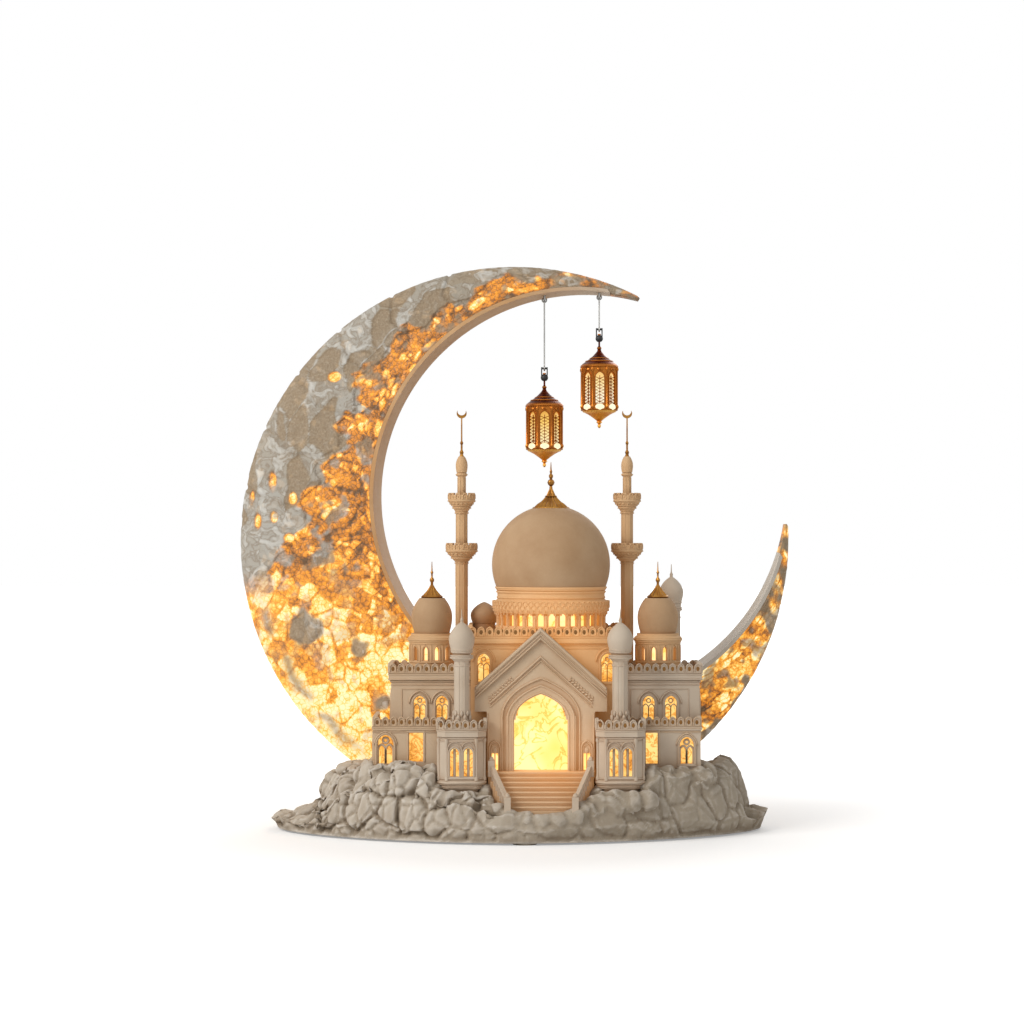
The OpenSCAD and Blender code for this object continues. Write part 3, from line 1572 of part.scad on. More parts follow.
module crescent_led_strip() {
  color("#fff1c0")
    difference() {
      intersection() {
        opening_core(rim_t + fit + strip_t);
        translate([opening_x, moon_y, opening_z - 2 * moon_r])
          block(4 * moon_r, strip_w, 4 * moon_r);
      }
      opening_core(rim_t + fit);
      beyond(strip_reach);
    }
}

module crescent_foot() {
  color(dark)
    difference() {
      intersection() {
        moon(moon_wall + fit);
        translate([0, moon_y, moon_seat_z])
          block(moon_foot_l, 2 * moon_half_depth, moon_foot_h);
      }
      translate([lead_x, moon_y, moon_seat_z - cut])
        cylinder(d = lead_d + 2 * fit, h = moon_foot_h + 2 * cut);
      for (side = [-1, 1])
        translate([side * moon_foot_l / 3, moon_y, moon_seat_z - cut])
          cylinder(r = screw_r + run_fit, h = moon_foot_h - 2 + cut);
    }
}

module crescent_screws() {
  color(steel)
    for (side = [-1, 1])
      translate([side * moon_foot_l / 3, moon_y, rock_under + cut]) {
        cylinder(r = screw_head_r, h = screw_head_h);
        cylinder(r = screw_r, h = moon_seat + moon_foot_h - 4);
      }
}

// Lanterns

function hang_z(x) = rim_under(x) - staple_drop;

module lantern_staples() {
  color(steel)
    for (x = [left_lantern_x, right_lantern_x])
      translate([x, moon_y, hang_z(x)])
        union() {
          rotate([90, 0, 0])
            cylinder(r = bar_r, h = 2 * staple_half, center = true, $fn = 24);
          for (side = [-1, 1])
            translate([0, side * staple_half, 0]) {
              sphere(bar_r, $fn = 24);
              cylinder(r = bar_r, h = staple_leg_l, $fn = 24);
            }
        }
}

module hanger_loop() {
  rotate_extrude($fn = 32)
    translate([loop_r, 0])
      circle(wire_r, $fn = 16);
}

module lantern_wire(x, l) {
  color(steel)
    translate([x, moon_y, hang_z(x)])
      union() {
        rotate([90, 0, 0])
          hanger_loop();
        translate([0, 0, -l + loop_r])
          cylinder(r = wire_r, h = l - 2 * loop_r, $fn = 16);
        translate([0, 0, -l])
          rotate([0, 90, 0])
            hanger_loop();
      }
}

// Yoke and bead that the lantern turns in, with the bead's middle on the origin
module lantern_swivel(x, l) {
  cheek_in = wire_r + 0.8;
  cheek_t = 0.6;
  color(dark)
    translate([x, moon_y, hang_z(x) - l - swivel_drop])
      difference() {
        union() {
          intersection() {
            sphere(bead_r);
            translate([0, 0, -bead_flat])
              block(4 * bead_r, 4 * bead_r, 2 * bead_flat);
          }
          translate([0, 0, swivel_drop])
            rotate([0, 90, 0])
              cylinder(r = bar_r, h = 2 * (cheek_in + cheek_t), center = true, $fn = 24);
          for (side = [-1, 1])
            translate([side * (cheek_in + cheek_t / 2), 0, 0])
              block(cheek_t, 2 * bar_r, swivel_drop + bar_r);
        }
        translate([0, 0, -2 * bead_r])
          cylinder(r = stem_r + run_fit, h = 4 * bead_r);
        translate([0, 0, bead_flat])
          cylinder(r = stem_r + 0.6, h = swivel_drop - bead_flat - bar_r - cut / 2);
      }
}

// Place of a lantern's cage top under its bead
module at_cage(x, l) {
  translate([x, moon_y, hang_z(x) - l - swivel_drop - cage_drop])
    children();
}

module lantern_cap(x, l) {
  stem_top = cage_drop + bead_flat + 0.15;
  color(copper)
    at_cage(x, l)
      turned([
        [cage_r - 0.4, 0], [cage_r - 0.2, 0.8], [cage_r - 1, 1.6], [cage_r * 0.72, 3], [cage_r * 0.5, 4.6],
        [cage_r * 0.3, 6.4], [1.3, lantern_cap_h], [0.9, lantern_cap_h + 1], [1.3, lantern_cap_h + 2],
        [stem_r, lantern_cap_h + 3], [stem_r, stem_top], [stem_r + 0.4, stem_top],
        [stem_r + 0.4, stem_top + 0.6]]);
}

module lantern_cage(x, l) {
  color(copper)
    at_cage(x, l)
      rotate([0, 0, 22.5])
        translate([0, 0, -cage_h])
          difference() {
            cylinder(r = cage_r, h = cage_h, $fn = 8);
            translate([0, 0, cage_wall])
              cylinder(r = cage_r - cage_wall, h = cage_h, $fn = 8);
            for (i = [0:7])
              rotate([0, 0, 45 * i + 22.5])
                translate([0, -cage_r * cos(22.5), 3])
                  upright(-cut, 2 * cage_wall)
                    pointed_arch(4.6, cage_h - 6, 3);
          }
}

module lantern_lamp(x, l) {
  color(amber)
    at_cage(x, l)
      translate([0, 0, -cage_h + cage_wall])
        turned([[3, 0], [3, 2], [2.4, 2.4], [3.4, 6], [3.4, 10], [2, 13], [0.6, 15]]);
}

module lantern_base(x, l) {
  h = lantern_base_h;
  color(gold)
    at_cage(x, l)
      translate([0, 0, -cage_h])
        turned([
          [0.3, -h], [0.9, -h + 0.8], [0.9, -h + 1.6], [0.6, -h + 2.2], [1.6, -h + 3], [1.2, -h + 3.8],
          [cage_r * 0.3, -h * 0.46], [cage_r * 0.56, -h * 0.27],
          [cage_r - 1.2, -h * 0.1], [cage_r - 0.8, 0]]);
}

rock_base();
base_plate();
base_plate_screws();
base_feet();
battery_holder();
battery_cells();
battery_contacts();
battery_door();
switch_body();
switch_slider();
led_board();
wiring();
terrace();
front_stairs();
stair_rails();
central_hall();
portal();
portal_panel();
hall_drum();
drum_diffuser();
main_dome();
main_dome_cap();
main_dome_finial();
tower(-1);  // left_tower
tower(1);  // right_tower
left_wing();
right_wing();
side_drums();
side_domes();
side_dome_caps();
window_panels();
pavilion(-1);  // left_pavilion
pavilion(1);  // right_pavilion
turret(-1);  // left_turret
turret(1);  // right_turret
minaret(-1);  // left_minaret
minaret(1);  // right_minaret
minaret_finials();
rear_turret();
rear_cupola();
crescent_shell(1);  // crescent_front_shell
crescent_shell(-1);  // crescent_back_shell
crescent_inner_rim();
crescent_led_strip();
crescent_foot();
crescent_screws();
lantern_staples();
lantern_wire(left_lantern_x, left_wire_l);  // left_lantern_wire
lantern_swivel(left_lantern_x, left_wire_l);  // left_lantern_swivel
lantern_cap(left_lantern_x, left_wire_l);  // left_lantern_cap
lantern_cage(left_lantern_x, left_wire_l);  // left_lantern_cage
lantern_lamp(left_lantern_x, left_wire_l);  // left_lantern_lamp
lantern_base(left_lantern_x, left_wire_l);  // left_lantern_base
lantern_wire(right_lantern_x, right_wire_l);  // right_lantern_wire
lantern_swivel(right_lantern_x, right_wire_l);  // right_lantern_swivel
lantern_cap(right_lantern_x, right_wire_l);  // right_lantern_cap
lantern_cage(right_lantern_x, right_wire_l);  // right_lantern_cage
lantern_lamp(right_lantern_x, right_wire_l);  // right_lantern_lamp
lantern_base(right_lantern_x, right_wire_l);  // right_lantern_base
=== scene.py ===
# Looks of the lit mosque decoration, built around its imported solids. Shapes are worked out in millimetres.
import math

import bmesh
import bpy
import numpy as np
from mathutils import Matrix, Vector, noise
from mathutils.bvhtree import BVHTree
from mathutils.kdtree import KDTree


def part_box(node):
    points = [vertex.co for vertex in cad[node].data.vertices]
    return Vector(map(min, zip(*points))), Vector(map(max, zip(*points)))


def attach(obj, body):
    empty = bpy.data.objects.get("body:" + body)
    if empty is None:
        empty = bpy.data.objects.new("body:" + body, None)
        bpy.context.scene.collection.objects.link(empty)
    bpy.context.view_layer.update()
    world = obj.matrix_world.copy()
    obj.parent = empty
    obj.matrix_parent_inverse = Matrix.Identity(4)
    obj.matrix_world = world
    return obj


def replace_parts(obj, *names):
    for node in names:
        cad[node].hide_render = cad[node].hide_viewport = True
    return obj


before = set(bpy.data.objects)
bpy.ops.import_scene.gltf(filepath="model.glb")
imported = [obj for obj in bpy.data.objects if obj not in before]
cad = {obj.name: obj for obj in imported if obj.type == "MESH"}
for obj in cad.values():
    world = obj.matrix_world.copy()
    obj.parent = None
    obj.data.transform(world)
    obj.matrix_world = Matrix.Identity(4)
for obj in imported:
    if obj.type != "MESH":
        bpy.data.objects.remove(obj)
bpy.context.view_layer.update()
MM = 0.001
BODY = "decoration"


def box_mm(node):
    """Lowest and highest corner of a CAD node in millimetres."""
    low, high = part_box(node)
    return np.array(low) / MM, np.array(high) / MM


def axis_mm(node):
    """Sideways place and depth of a CAD node's upright middle axis in millimetres."""
    low, high = box_mm(node)
    return (low[0] + high[0]) / 2, (low[1] + high[1]) / 2


# Sizes of the moon, from its shells
shell_low, shell_high = box_mm("crescent_front_shell")
MOON_R = -shell_low[0]
MOON_Z = shell_high[2] - MOON_R
MOON_Y = shell_high[1]
MOON_HALF = MOON_Y - shell_low[1]
MOON_SEAT = shell_low[2]
OPENING_X, OPENING_Z = 36.0, 172.0
OPENING = np.array([OPENING_X, OPENING_Z - MOON_Z])
OPENING_FRONT_R = 110.7
OPENING_BACK_R = 108.5
TAPER_SHARE = 0.87
HORN_REACH = 127.0
RIM_REACH = 115.06
RIM_STEP = 2.2

# Sizes of the buildings, from their nodes
CORNICE_OUT = 1.2
PARAPET_H = 2.4
TOOTH_H = 2.8
TOOTH_PITCH = 4.2
hall_low, hall_high = box_mm("central_hall")
left_tower_low, left_tower_high = box_mm("left_tower")
right_tower_high = box_mm("right_tower")[1]
drum_low, drum_high = box_mm("hall_drum")
FLOOR_Z = hall_low[2]
HALL_TOP = hall_high[2] - PARAPET_H - TOOTH_H
TOWER_TOP = left_tower_high[2] - PARAPET_H - TOOTH_H
MOSQUE_X = axis_mm("central_hall")[0]
DOME_X, DOME_Y = axis_mm("hall_drum")
DRUM_R = 27.4
FLARE_R = (drum_high[0] - drum_low[0]) / 2
# Middles of the warm light before the door and the lit drum, in metres
DOOR_LIGHT = (DOME_X * MM, box_mm("portal_panel")[0][1] * MM - 0.004, (FLOOR_Z + 12) * MM)
DRUM_LIGHT = (DOME_X * MM, (DOME_Y - DRUM_R - 8) * MM, (HALL_TOP + 2) * MM)


# Camera at the photograph's viewing angle

def add_camera():
    data = bpy.data.cameras.new("camera")
    data.lens = 81.76
    data.sensor_width = 36
    data.shift_x = -0.0025
    data.shift_y = 0.0254
    camera = bpy.data.objects.new("camera", data)
    camera.location = (0, -1.2, 0.15)
    camera.rotation_euler = (math.radians(90), 0, 0)
    bpy.context.scene.collection.objects.link(camera)
    bpy.context.scene.camera = camera


add_camera()


# Building blocks of the materials

def colour(value):
    """Linear colour of a hex code. A colour or a socket stays as it is."""
    if not isinstance(value, str):
        return value
    shares = [int(value[i:i + 2], 16) / 255 for i in (1, 3, 5)]
    return tuple(c / 12.92 if c <= 0.04045 else ((c + 0.055) / 1.055) ** 2.4 for c in shares) + (1.0,)


def put(tree, kind, inputs=None, **settings):
    """A new node with its settings, its inputs set or linked."""
    node = tree.nodes.new(kind)
    for key, value in settings.items():
        setattr(node, key, value)
    for key, value in (inputs or {}).items():
        if isinstance(value, bpy.types.NodeSocket):
            tree.links.new(value, node.inputs[key])
        else:
            node.inputs[key].default_value = value
    return node


def calc(tree, operation, a, b=0.0, clamp=False):
    return put(tree, "ShaderNodeMath", {0: a, 1: b}, operation=operation, use_clamp=clamp).outputs[0]


def blend(tree, share, a, b):
    return put(tree, "ShaderNodeMix", {0: share, 6: colour(a), 7: colour(b)}, data_type="RGBA").outputs[2]


def ramp(tree, share, stops):
    node = put(tree, "ShaderNodeValToRGB", {"Fac": share})
    bar = node.color_ramp
    while len(bar.elements) < len(stops):
        bar.elements.new(0.5)
    for element, (place, shade) in zip(bar.elements, stops):
        element.position = place
        element.color = colour(shade)
    return node.outputs["Color"]


def spread(tree, value, low, high, to_low=0.0, to_high=1.0):
    """A value moved from one range to another and held there."""
    keys = {"Value": value, "From Min": low, "From Max": high, "To Min": to_low, "To Max": to_high}
    return put(tree, "ShaderNodeMapRange", keys, clamp=True).outputs["Result"]


def object_spot(tree):
    return put(tree, "ShaderNodeTexCoord").outputs["Object"]


def along_axis(tree, spot, axis):
    return put(tree, "ShaderNodeSeparateXYZ", {0: spot}).outputs[axis]


def noise_share(tree, spot, scale, detail, distortion=0.0):
    """Share from 0 to 1 of a cloudy pattern."""
    keys = {"Vector": spot, "Scale": scale, "Detail": detail, "Distortion": distortion}
    return put(tree, "ShaderNodeTexNoise", keys).outputs["Fac"]


def off_middle(tree, share):
    """How far a share lies from a half."""
    return calc(tree, "ABSOLUTE", calc(tree, "SUBTRACT", share, 0.5))


def new_group(name, inputs, outputs):
    group = bpy.data.node_groups.new(name, "ShaderNodeTree")
    for label, value in inputs.items():
        socket = group.interface.new_socket(label, in_out="INPUT", socket_type="NodeSocketFloat")
        socket.default_value = value
    for label in outputs:
        group.interface.new_socket(label, in_out="OUTPUT", socket_type="NodeSocketFloat")
    return group, put(group, "NodeGroupInput"), put(group, "NodeGroupOutput")


def use_group(tree, group, **inputs):
    node = put(tree, "ShaderNodeGroup", node_tree=group)
    for label, value in inputs.items():
        node.inputs[label].default_value = value
    return node.outputs


def cast_mottle_group():
    """Cloudy patches and fine grain of a cast surface."""
    group, given, out = new_group("cast_mottle", {"Scale": 30.0, "Fine": 900.0}, ["Patch", "Grain"])
    spot = object_spot(group)
    patch = noise_share(group, spot, given.outputs["Scale"], 4.0)
    group.links.new(spread(group, patch, 0.32, 0.68), out.inputs["Patch"])
    group.links.new(noise_share(group, spot, given.outputs["Fine"], 3.0), out.inputs["Grain"])
    return group


def hollow_group():
    """Mask of corners and hollows, where dust gathers and shade is painted."""
    group, given, out = new_group("dust_and_shade_hollows", {"Reach": 0.004}, ["Hollow"])
    open_share = put(group, "ShaderNodeAmbientOcclusion", {"Distance": given.outputs["Reach"]}, samples=8)
    group.links.new(spread(group, open_share.outputs["AO"], 0.92, 0.35), out.inputs["Hollow"])
    return group


def edge_and_crease_group():
    """Masks of edges, rubbed or painted as highlight, and of creases, painted as shade, from how sharply the
    surface turns.
    """
    group, given, out = new_group("edge_and_crease_masks", {"Width": 0.06}, ["Edge", "Crease"])
    point = put(group, "ShaderNodeNewGeometry").outputs["Pointiness"]
    high = calc(group, "ADD", given.outputs["Width"], 0.5)
    low = calc(group, "SUBTRACT", 0.5, given.outputs["Width"])
    group.links.new(spread(group, point, 0.505, high), out.inputs["Edge"])
    group.links.new(spread(group, point, 0.495, low), out.inputs["Crease"])
    return group


def warm_spill_group():
    """Mask of the warm light that the door and the lit drum throw on what stands near them."""
    group, given, out = new_group("warm_spill", {"Door": 0.1, "Drum": 0.1}, ["Spill"])
    spot = object_spot(group)
    near = 0.0
    for label, place, reach in (("Door", DOOR_LIGHT, 0.05), ("Drum", DRUM_LIGHT, 0.075)):
        far = put(group, "ShaderNodeVectorMath", {0: spot, 1: place}, operation="DISTANCE").outputs["Value"]
        share = spread(group, far, 0.008, reach, 1.0, 0.0)
        share = calc(group, "MULTIPLY", calc(group, "MULTIPLY", share, share), given.outputs[label])
        near = calc(group, "ADD", near, share)
    group.links.new(near, out.inputs["Spill"])
    return group


MOTTLE = cast_mottle_group()
HOLLOWS = hollow_group()
EDGES = edge_and_crease_group()
SPILL = warm_spill_group()


def socket_name(label):
    return label.replace("_", " ").title()


def new_finish(name, **values):
    """A material with its tree and its shader, whose inputs are set by name."""
    material = bpy.data.materials.new(name)
    material.use_nodes = True
    tree = material.node_tree
    shader = tree.nodes["Principled BSDF"]
    for label, value in values.items():
        shader.inputs[socket_name(label)].default_value = value
    return material, tree, shader


def feed(tree, shader, **links):
    """Links sockets to a shader's inputs by name."""
    for label, socket in links.items():
        tree.links.new(socket, shader.inputs[socket_name(label)])


def bump(tree, height, strength, distance):
    keys = {"Height": height, "Strength": strength, "Distance": distance}
    return put(tree, "ShaderNodeBump", keys).outputs["Normal"]


# Finishes

def plaster_finish(name, dark, light, door=0.1, drum=0.0):
    """Cast plaster with painted shade in its hollows, warmer and darker there, and the lamps' warm light
    painted on it as a glow.
    """
    material, tree, shader = new_finish(name, emission_strength=1.0)
    mottle = use_group(tree, MOTTLE, Scale=42.0, Fine=1100.0)
    hollow = use_group(tree, HOLLOWS, Reach=0.006)["Hollow"]
    warm = use_group(tree, SPILL, Door=door, Drum=drum)["Spill"]
    body = blend(tree, mottle["Patch"], dark, light)
    # painted shade: warmer, darker plaster in the hollows
    body = blend(tree, calc(tree, "MULTIPLY", hollow, 0.5), body, "#a67c52")
    rough = spread(tree, mottle["Grain"], 0.3, 0.7, 0.62, 0.84)
    # painted light: the warm glow of the door and the drum, given off by the plaster itself
    glow = blend(tree, warm, (0, 0, 0, 1), "#ffa84a")
    feed(tree, shader, base_color=body, roughness=rough, emission_color=glow)
    feed(tree, shader, normal=bump(tree, mottle["Grain"], 0.22, 0.0004))
    return material


def rock_finish():
    """Pale grey cast rock with painted shade to the right, in its hollows and in its creases, and edges
    rubbed white that are partly painted highlight.
    """
    material, tree, shader = new_finish("grey_rock")
    mottle = use_group(tree, MOTTLE, Scale=60.0, Fine=1300.0)
    edge_masks = use_group(tree, EDGES, Width=0.07)
    hollow = use_group(tree, HOLLOWS, Reach=0.008)["Hollow"]
    sideways = along_axis(tree, object_spot(tree), "X")
    pale = blend(tree, mottle["Patch"], "#b3a695", "#c6bbab")
    dim = blend(tree, mottle["Patch"], "#a09381", "#afa391")
    # painted shade: the rock darker towards the right
    body = blend(tree, spread(tree, sideways, -0.05, 0.03), pale, dim)
    # painted shade in the hollows and, below, in the creases
    body = blend(tree, hollow, body, "#8a7a66")
    body = blend(tree, calc(tree, "MULTIPLY", edge_masks["Crease"], 0.5), body, "#8f7f6b")
    # edges lighter: rubbed wear and painted highlight
    body = blend(tree, edge_masks["Edge"], body, "#d3cbc0")
    rough = spread(tree, mottle["Grain"], 0.3, 0.7, 0.7, 0.92)
    feed(tree, shader, base_color=body, roughness=rough, normal=bump(tree, mottle["Grain"], 0.5, 0.0006))
    return material


def brass_finish():
    """Aged brass with patches, dull in its hollows."""
    material, tree, shader = new_finish("aged_brass", metallic=1.0)
    mottle = use_group(tree, MOTTLE, Scale=160.0, Fine=2400.0)
    hollow = use_group(tree, HOLLOWS, Reach=0.003)["Hollow"]
    body = blend(tree, mottle["Patch"], "#8a5a28", "#b4823f")
    body = blend(tree, hollow, body, "#4d2f14")
    rough = spread(tree, mottle["Patch"], 0.0, 1.0, 0.46, 0.28)
    feed(tree, shader, base_color=body, roughness=rough, normal=bump(tree, mottle["Grain"], 0.12, 0.0002))
    return material


def amber_finish(name, deep, mid, pale, scale, vein_w, strength):
    """Lit amber sheet with a marbled pattern; its red is over-lit so that it warms what stands near."""
    material, tree, shader = new_finish(name, roughness=0.35, emission_strength=strength)

    def lit(code):
        red, green, blue, _ = colour(code)
        return (red, green / strength, blue / strength, 1.0)

    spot = object_spot(tree)
    drift = noise_share(tree, spot, scale, 5.0, 0.8)
    patch = noise_share(tree, spot, scale * 0.4, 2.0)
    vein = spread(tree, off_middle(tree, drift), 0.0, vein_w, 0.35, 1.0)
    level = calc(tree, "MULTIPLY", vein, spread(tree, patch, 0.34, 0.6, 0.5, 1.0))
    light = ramp(tree, level, [(0.15, lit(deep)), (0.55, lit(mid)), (1.0, lit(pale))])
    body = blend(tree, level, "#6b3d10", "#8a5a1e")
    feed(tree, shader, base_color=body, emission_color=light)
    return material


def moon_finish():
    """Moon skin: grey broken crust over lit amber cells, from the masks that the mesh carries."""
    material, tree, shader = new_finish("moon_skin", emission_strength=1.0)

    def mask(name):
        return put(tree, "ShaderNodeAttribute", attribute_name=name).outputs["Fac"]

    crust, plate, cold = mask("crust"), mask("plate"), mask("cold")
    seam, vein, glow = mask("seam"), mask("vein"), mask("glow")
    spot = object_spot(tree)
    fold = noise_share(tree, spot, 150.0, 5.0, 1.1)
    fine = noise_share(tree, spot, 900.0, 4.0)
    fleck = put(tree, "ShaderNodeTexVoronoi", {"Vector": spot, "Scale": 430.0}, feature="DISTANCE_TO_EDGE")
    crease = spread(tree, off_middle(tree, fold), 0.0, 0.07, 1.0, 0.0)
    crackle = spread(tree, fleck.outputs["Distance"], 0.0, 0.11, 1.0, 0.0)

    # Grey crust: torn warm-grey folds round flat tan plates
    torn = ramp(tree, cold, [(0.0, "#a68764"), (0.35, "#a9957a"), (0.7, "#a59b8b"), (1.0, "#b6b3ab")])
    torn = blend(tree, spread(tree, fold, 0.5, 0.7, 0.0, 0.8), torn, "#d6d5d0")
    torn = blend(tree, calc(tree, "MULTIPLY", crease, 0.5), torn, "#84705a")
    slab = ramp(tree, fine, [(0.3, "#8e7b62"), (0.6, "#a18f78"), (0.75, "#b3a48e")])
    grey = blend(tree, calc(tree, "MULTIPLY", plate, 0.85), torn, slab)
    grey = blend(tree, calc(tree, "MULTIPLY", seam, 0.55), grey, "#77603f")

    # Lit amber skin
    level = calc(tree, "SUBTRACT", glow, calc(tree, "MULTIPLY", crackle, 0.24))
    level = calc(tree, "ADD", level, spread(tree, fold, 0.32, 0.68, -0.14, 0.14))
    level = calc(tree, "SUBTRACT", level, calc(tree, "MULTIPLY", seam, 0.36))
    level = calc(tree, "SUBTRACT", level, calc(tree, "MULTIPLY", vein, 0.3), clamp=True)
    resin = ramp(tree, level, [(0.0, "#6b5135"), (0.4, "#9c6a2e"), (0.75, "#a86c22"), (1.0, "#8f6a35")])
    light = ramp(tree, level, [
        (0.0, "#241206"), (0.2, "#6a390e"), (0.42, "#b96b12"), (0.64, "#e99f30"),
        (0.82, "#ffd675"), (1.0, "#fff2c2")])
    through = calc(tree, "POWER", glow, 3.0)
    light = blend(tree, crust, light, blend(tree, through, (0, 0, 0, 1), "#66523a"))
    body = blend(tree, crust, resin, grey)
    rough = spread(tree, crust, 0.0, 1.0, 0.45, 0.85)
    height = calc(tree, "ADD", fold, calc(tree, "MULTIPLY", fine, 0.4))
    height = calc(tree, "SUBTRACT", height, calc(tree, "MULTIPLY", crackle, 0.2))
    feed(tree, shader, base_color=body, emission_color=light, roughness=rough)
    feed(tree, shader, normal=bump(tree, height, 0.6, 0.0009))
    return material


def rim_finish():
    """Smooth rim with faint brushed streaks, grey-white at the right and tan at the left, where the tan is
    painted warm glow and shade.
    """
    material, tree, shader = new_finish("smooth_rim")
    mottle = use_group(tree, MOTTLE, Scale=26.0, Fine=700.0)
    spot = object_spot(tree)
    squeeze = put(tree, "ShaderNodeMapping", {"Vector": spot, "Scale": (6.0, 420.0, 6.0)})
    streak = noise_share(tree, squeeze.outputs[0], 3.0, 3.0)
    sideways = along_axis(tree, spot, "X")
    left = blend(tree, mottle["Patch"], "#c0915e", "#d0a97c")
    right = blend(tree, mottle["Patch"], "#c3b7a6", "#d6cec2")
    # painted light: tan to the left for the moon's warm glow and shade, grey-white to the right
    body = blend(tree, spread(tree, sideways, 0.0, 0.08), left, right)
    body = blend(tree, spread(tree, streak, 0.5, 0.75, 0.0, 0.45), body, "#a08666")
    rough = spread(tree, mottle["Grain"], 0.3, 0.7, 0.5, 0.7)
    feed(tree, shader, base_color=body, roughness=rough, normal=bump(tree, streak, 0.1, 0.0004))
    return material


def copper_finish(name, dark, light, rubbed):
    """Copper or brass of the lanterns, golden where it is rubbed; the cones' bright orange brass is painted
    lamp glow.
    """
    material, tree, shader = new_finish(name, metallic=1.0)
    mottle = use_group(tree, MOTTLE, Scale=240.0, Fine=2600.0)
    edge_masks = use_group(tree, EDGES, Width=0.05)
    body = blend(tree, mottle["Patch"], dark, light)
    body = blend(tree, calc(tree, "MULTIPLY", edge_masks["Edge"], 0.75), body, rubbed)
    rough = spread(tree, mottle["Patch"], 0.0, 1.0, 0.5, 0.32)
    feed(tree, shader, base_color=body, roughness=rough, normal=bump(tree, mottle["Grain"], 0.15, 0.0002))
    return material


def lamp_finish(name, pale, mid, deep):
    """Lit glass in a lantern, brightest low down where the lamp sits."""
    material, tree, shader = new_finish(name, roughness=0.3, emission_strength=1.0)
    spot = put(tree, "ShaderNodeTexCoord").outputs["Generated"]
    height = along_axis(tree, spot, "Z")
    light = ramp(tree, height, [(0.0, "#fff8d6"), (0.3, pale), (0.65, mid), (1.0, deep)])
    body = ramp(tree, height, [(0.0, "#9a7432"), (1.0, "#6a3512")])
    feed(tree, shader, base_color=body, emission_color=light)
    return material


def plain_finish(name, dark, light, rough, metallic=0.0):
    """Moulded or drawn stock of one colour with a fine grain."""
    material, tree, shader = new_finish(name, metallic=metallic)
    mottle = use_group(tree, MOTTLE, Scale=120.0, Fine=1800.0)
    body = blend(tree, mottle["Patch"], dark, light)
    rough_map = spread(tree, mottle["Grain"], 0.3, 0.7, rough - 0.08, rough + 0.08)
    grain = bump(tree, mottle["Grain"], 0.1, 0.0002)
    feed(tree, shader, base_color=body, roughness=rough_map, normal=grain)
    return material


PLASTER = plaster_finish("cream_plaster", "#caaf90", "#d7c2a7", 0.24)
COOL_PLASTER = plaster_finish("cool_plaster", "#c3b09a", "#d0c1ae")
WARM_PLASTER = plaster_finish("warm_plaster", "#d2a97b", "#deba8e", 0.1, 0.3)
# lighter, warmer plaster of the terrace and steps: painted warm glow from the door
GLOW_LIT_STEP_PLASTER = plaster_finish("glow_lit_step_plaster", "#d8b389", "#e2c4a0", 0.32)
DOME_PLASTER = plaster_finish("dome_plaster", "#b08c66", "#c3a27e")
# dark gilt: gilding and painted shade in the parapets' loops
GILT_AND_SHADE = plaster_finish("gilt_and_shade_hollow", "#7a5429", "#94692f")
ROCK = rock_finish()
BRASS = brass_finish()
PORTAL_GLOW = amber_finish("portal_glow", "#f2b23c", "#fff07c", "#fffcb4", 95.0, 0.035, 1.5)
WINDOW_GLOW = amber_finish("window_glow", "#a55c12", "#f0b148", "#ffe48c", 240.0, 0.06, 1.1)
MOON = moon_finish()
RIM = rim_finish()
COPPER = copper_finish("dark_copper", "#3a1206", "#66230b", "#c47a32")
# painted light: the cones' brass painted bright orange as if lit by the lamps
GLOW_LIT_BRASS = copper_finish("glow_lit_orange_brass", "#d0801f", "#eda238", "#ffd070")
LAMPS = {
    "left": lamp_finish("left_lantern_glow", "#fff2b4", "#ffd873", "#d08a35"),
    "right": lamp_finish("right_lantern_glow", "#fffbe0", "#ffecaa", "#f0b050")}
STEEL = plain_finish("drawn_steel", "#9a9a98", "#bdbcb8", 0.32, 1.0)
BLACK = plain_finish("black_plastic", "#1c1c1d", "#29292b", 0.5)
WHITE = plain_finish("white_plastic", "#dcdcd8", "#ecebe6", 0.42)
RUBBER = plain_finish("rubber", "#8f8678", "#a0978a", 0.8)
CELL = plain_finish("cell_sleeve", "#3f5a49", "#5b7a66", 0.38)
LEAD = plain_finish("lead_skin", "#a52f22", "#c9402f", 0.45)

NODE_FINISHES = {
    PLASTER: ["portal", "left_tower", "left_wing"],
    COOL_PLASTER: [
        "stair_rails", "right_tower", "right_wing", "left_pavilion", "right_pavilion", "left_turret",
        "right_turret", "rear_turret"],
    WARM_PLASTER: ["central_hall", "hall_drum", "side_drums", "left_minaret", "right_minaret"],
    GLOW_LIT_STEP_PLASTER: ["terrace", "front_stairs"],
    DOME_PLASTER: ["main_dome", "side_domes", "rear_cupola"],
    ROCK: ["rock_base"],
    BRASS: ["main_dome_cap", "main_dome_finial", "side_dome_caps", "minaret_finials"],
    GLOW_LIT_BRASS: ["left_lantern_base", "right_lantern_base"],
    PORTAL_GLOW: ["portal_panel", "drum_diffuser"],
    WINDOW_GLOW: ["window_panels"],
    MOON: ["crescent_front_shell", "crescent_back_shell"],
    RIM: ["crescent_inner_rim"],
    COPPER: ["left_lantern_cap", "left_lantern_cage", "right_lantern_cap", "right_lantern_cage"],
    LAMPS["left"]: ["left_lantern_lamp"],
    LAMPS["right"]: ["right_lantern_lamp"],
    STEEL: [
        "base_plate_screws", "battery_contacts", "switch_body", "crescent_screws", "lantern_staples",
        "left_lantern_wire", "right_lantern_wire"],
    BLACK: [
        "base_plate", "battery_holder", "battery_door", "crescent_foot", "left_lantern_swivel",
        "right_lantern_swivel"],
    WHITE: ["switch_slider", "led_board", "crescent_led_strip"],
    RUBBER: ["base_feet"],
    CELL: ["battery_cells"],
    LEAD: ["wiring"],
}


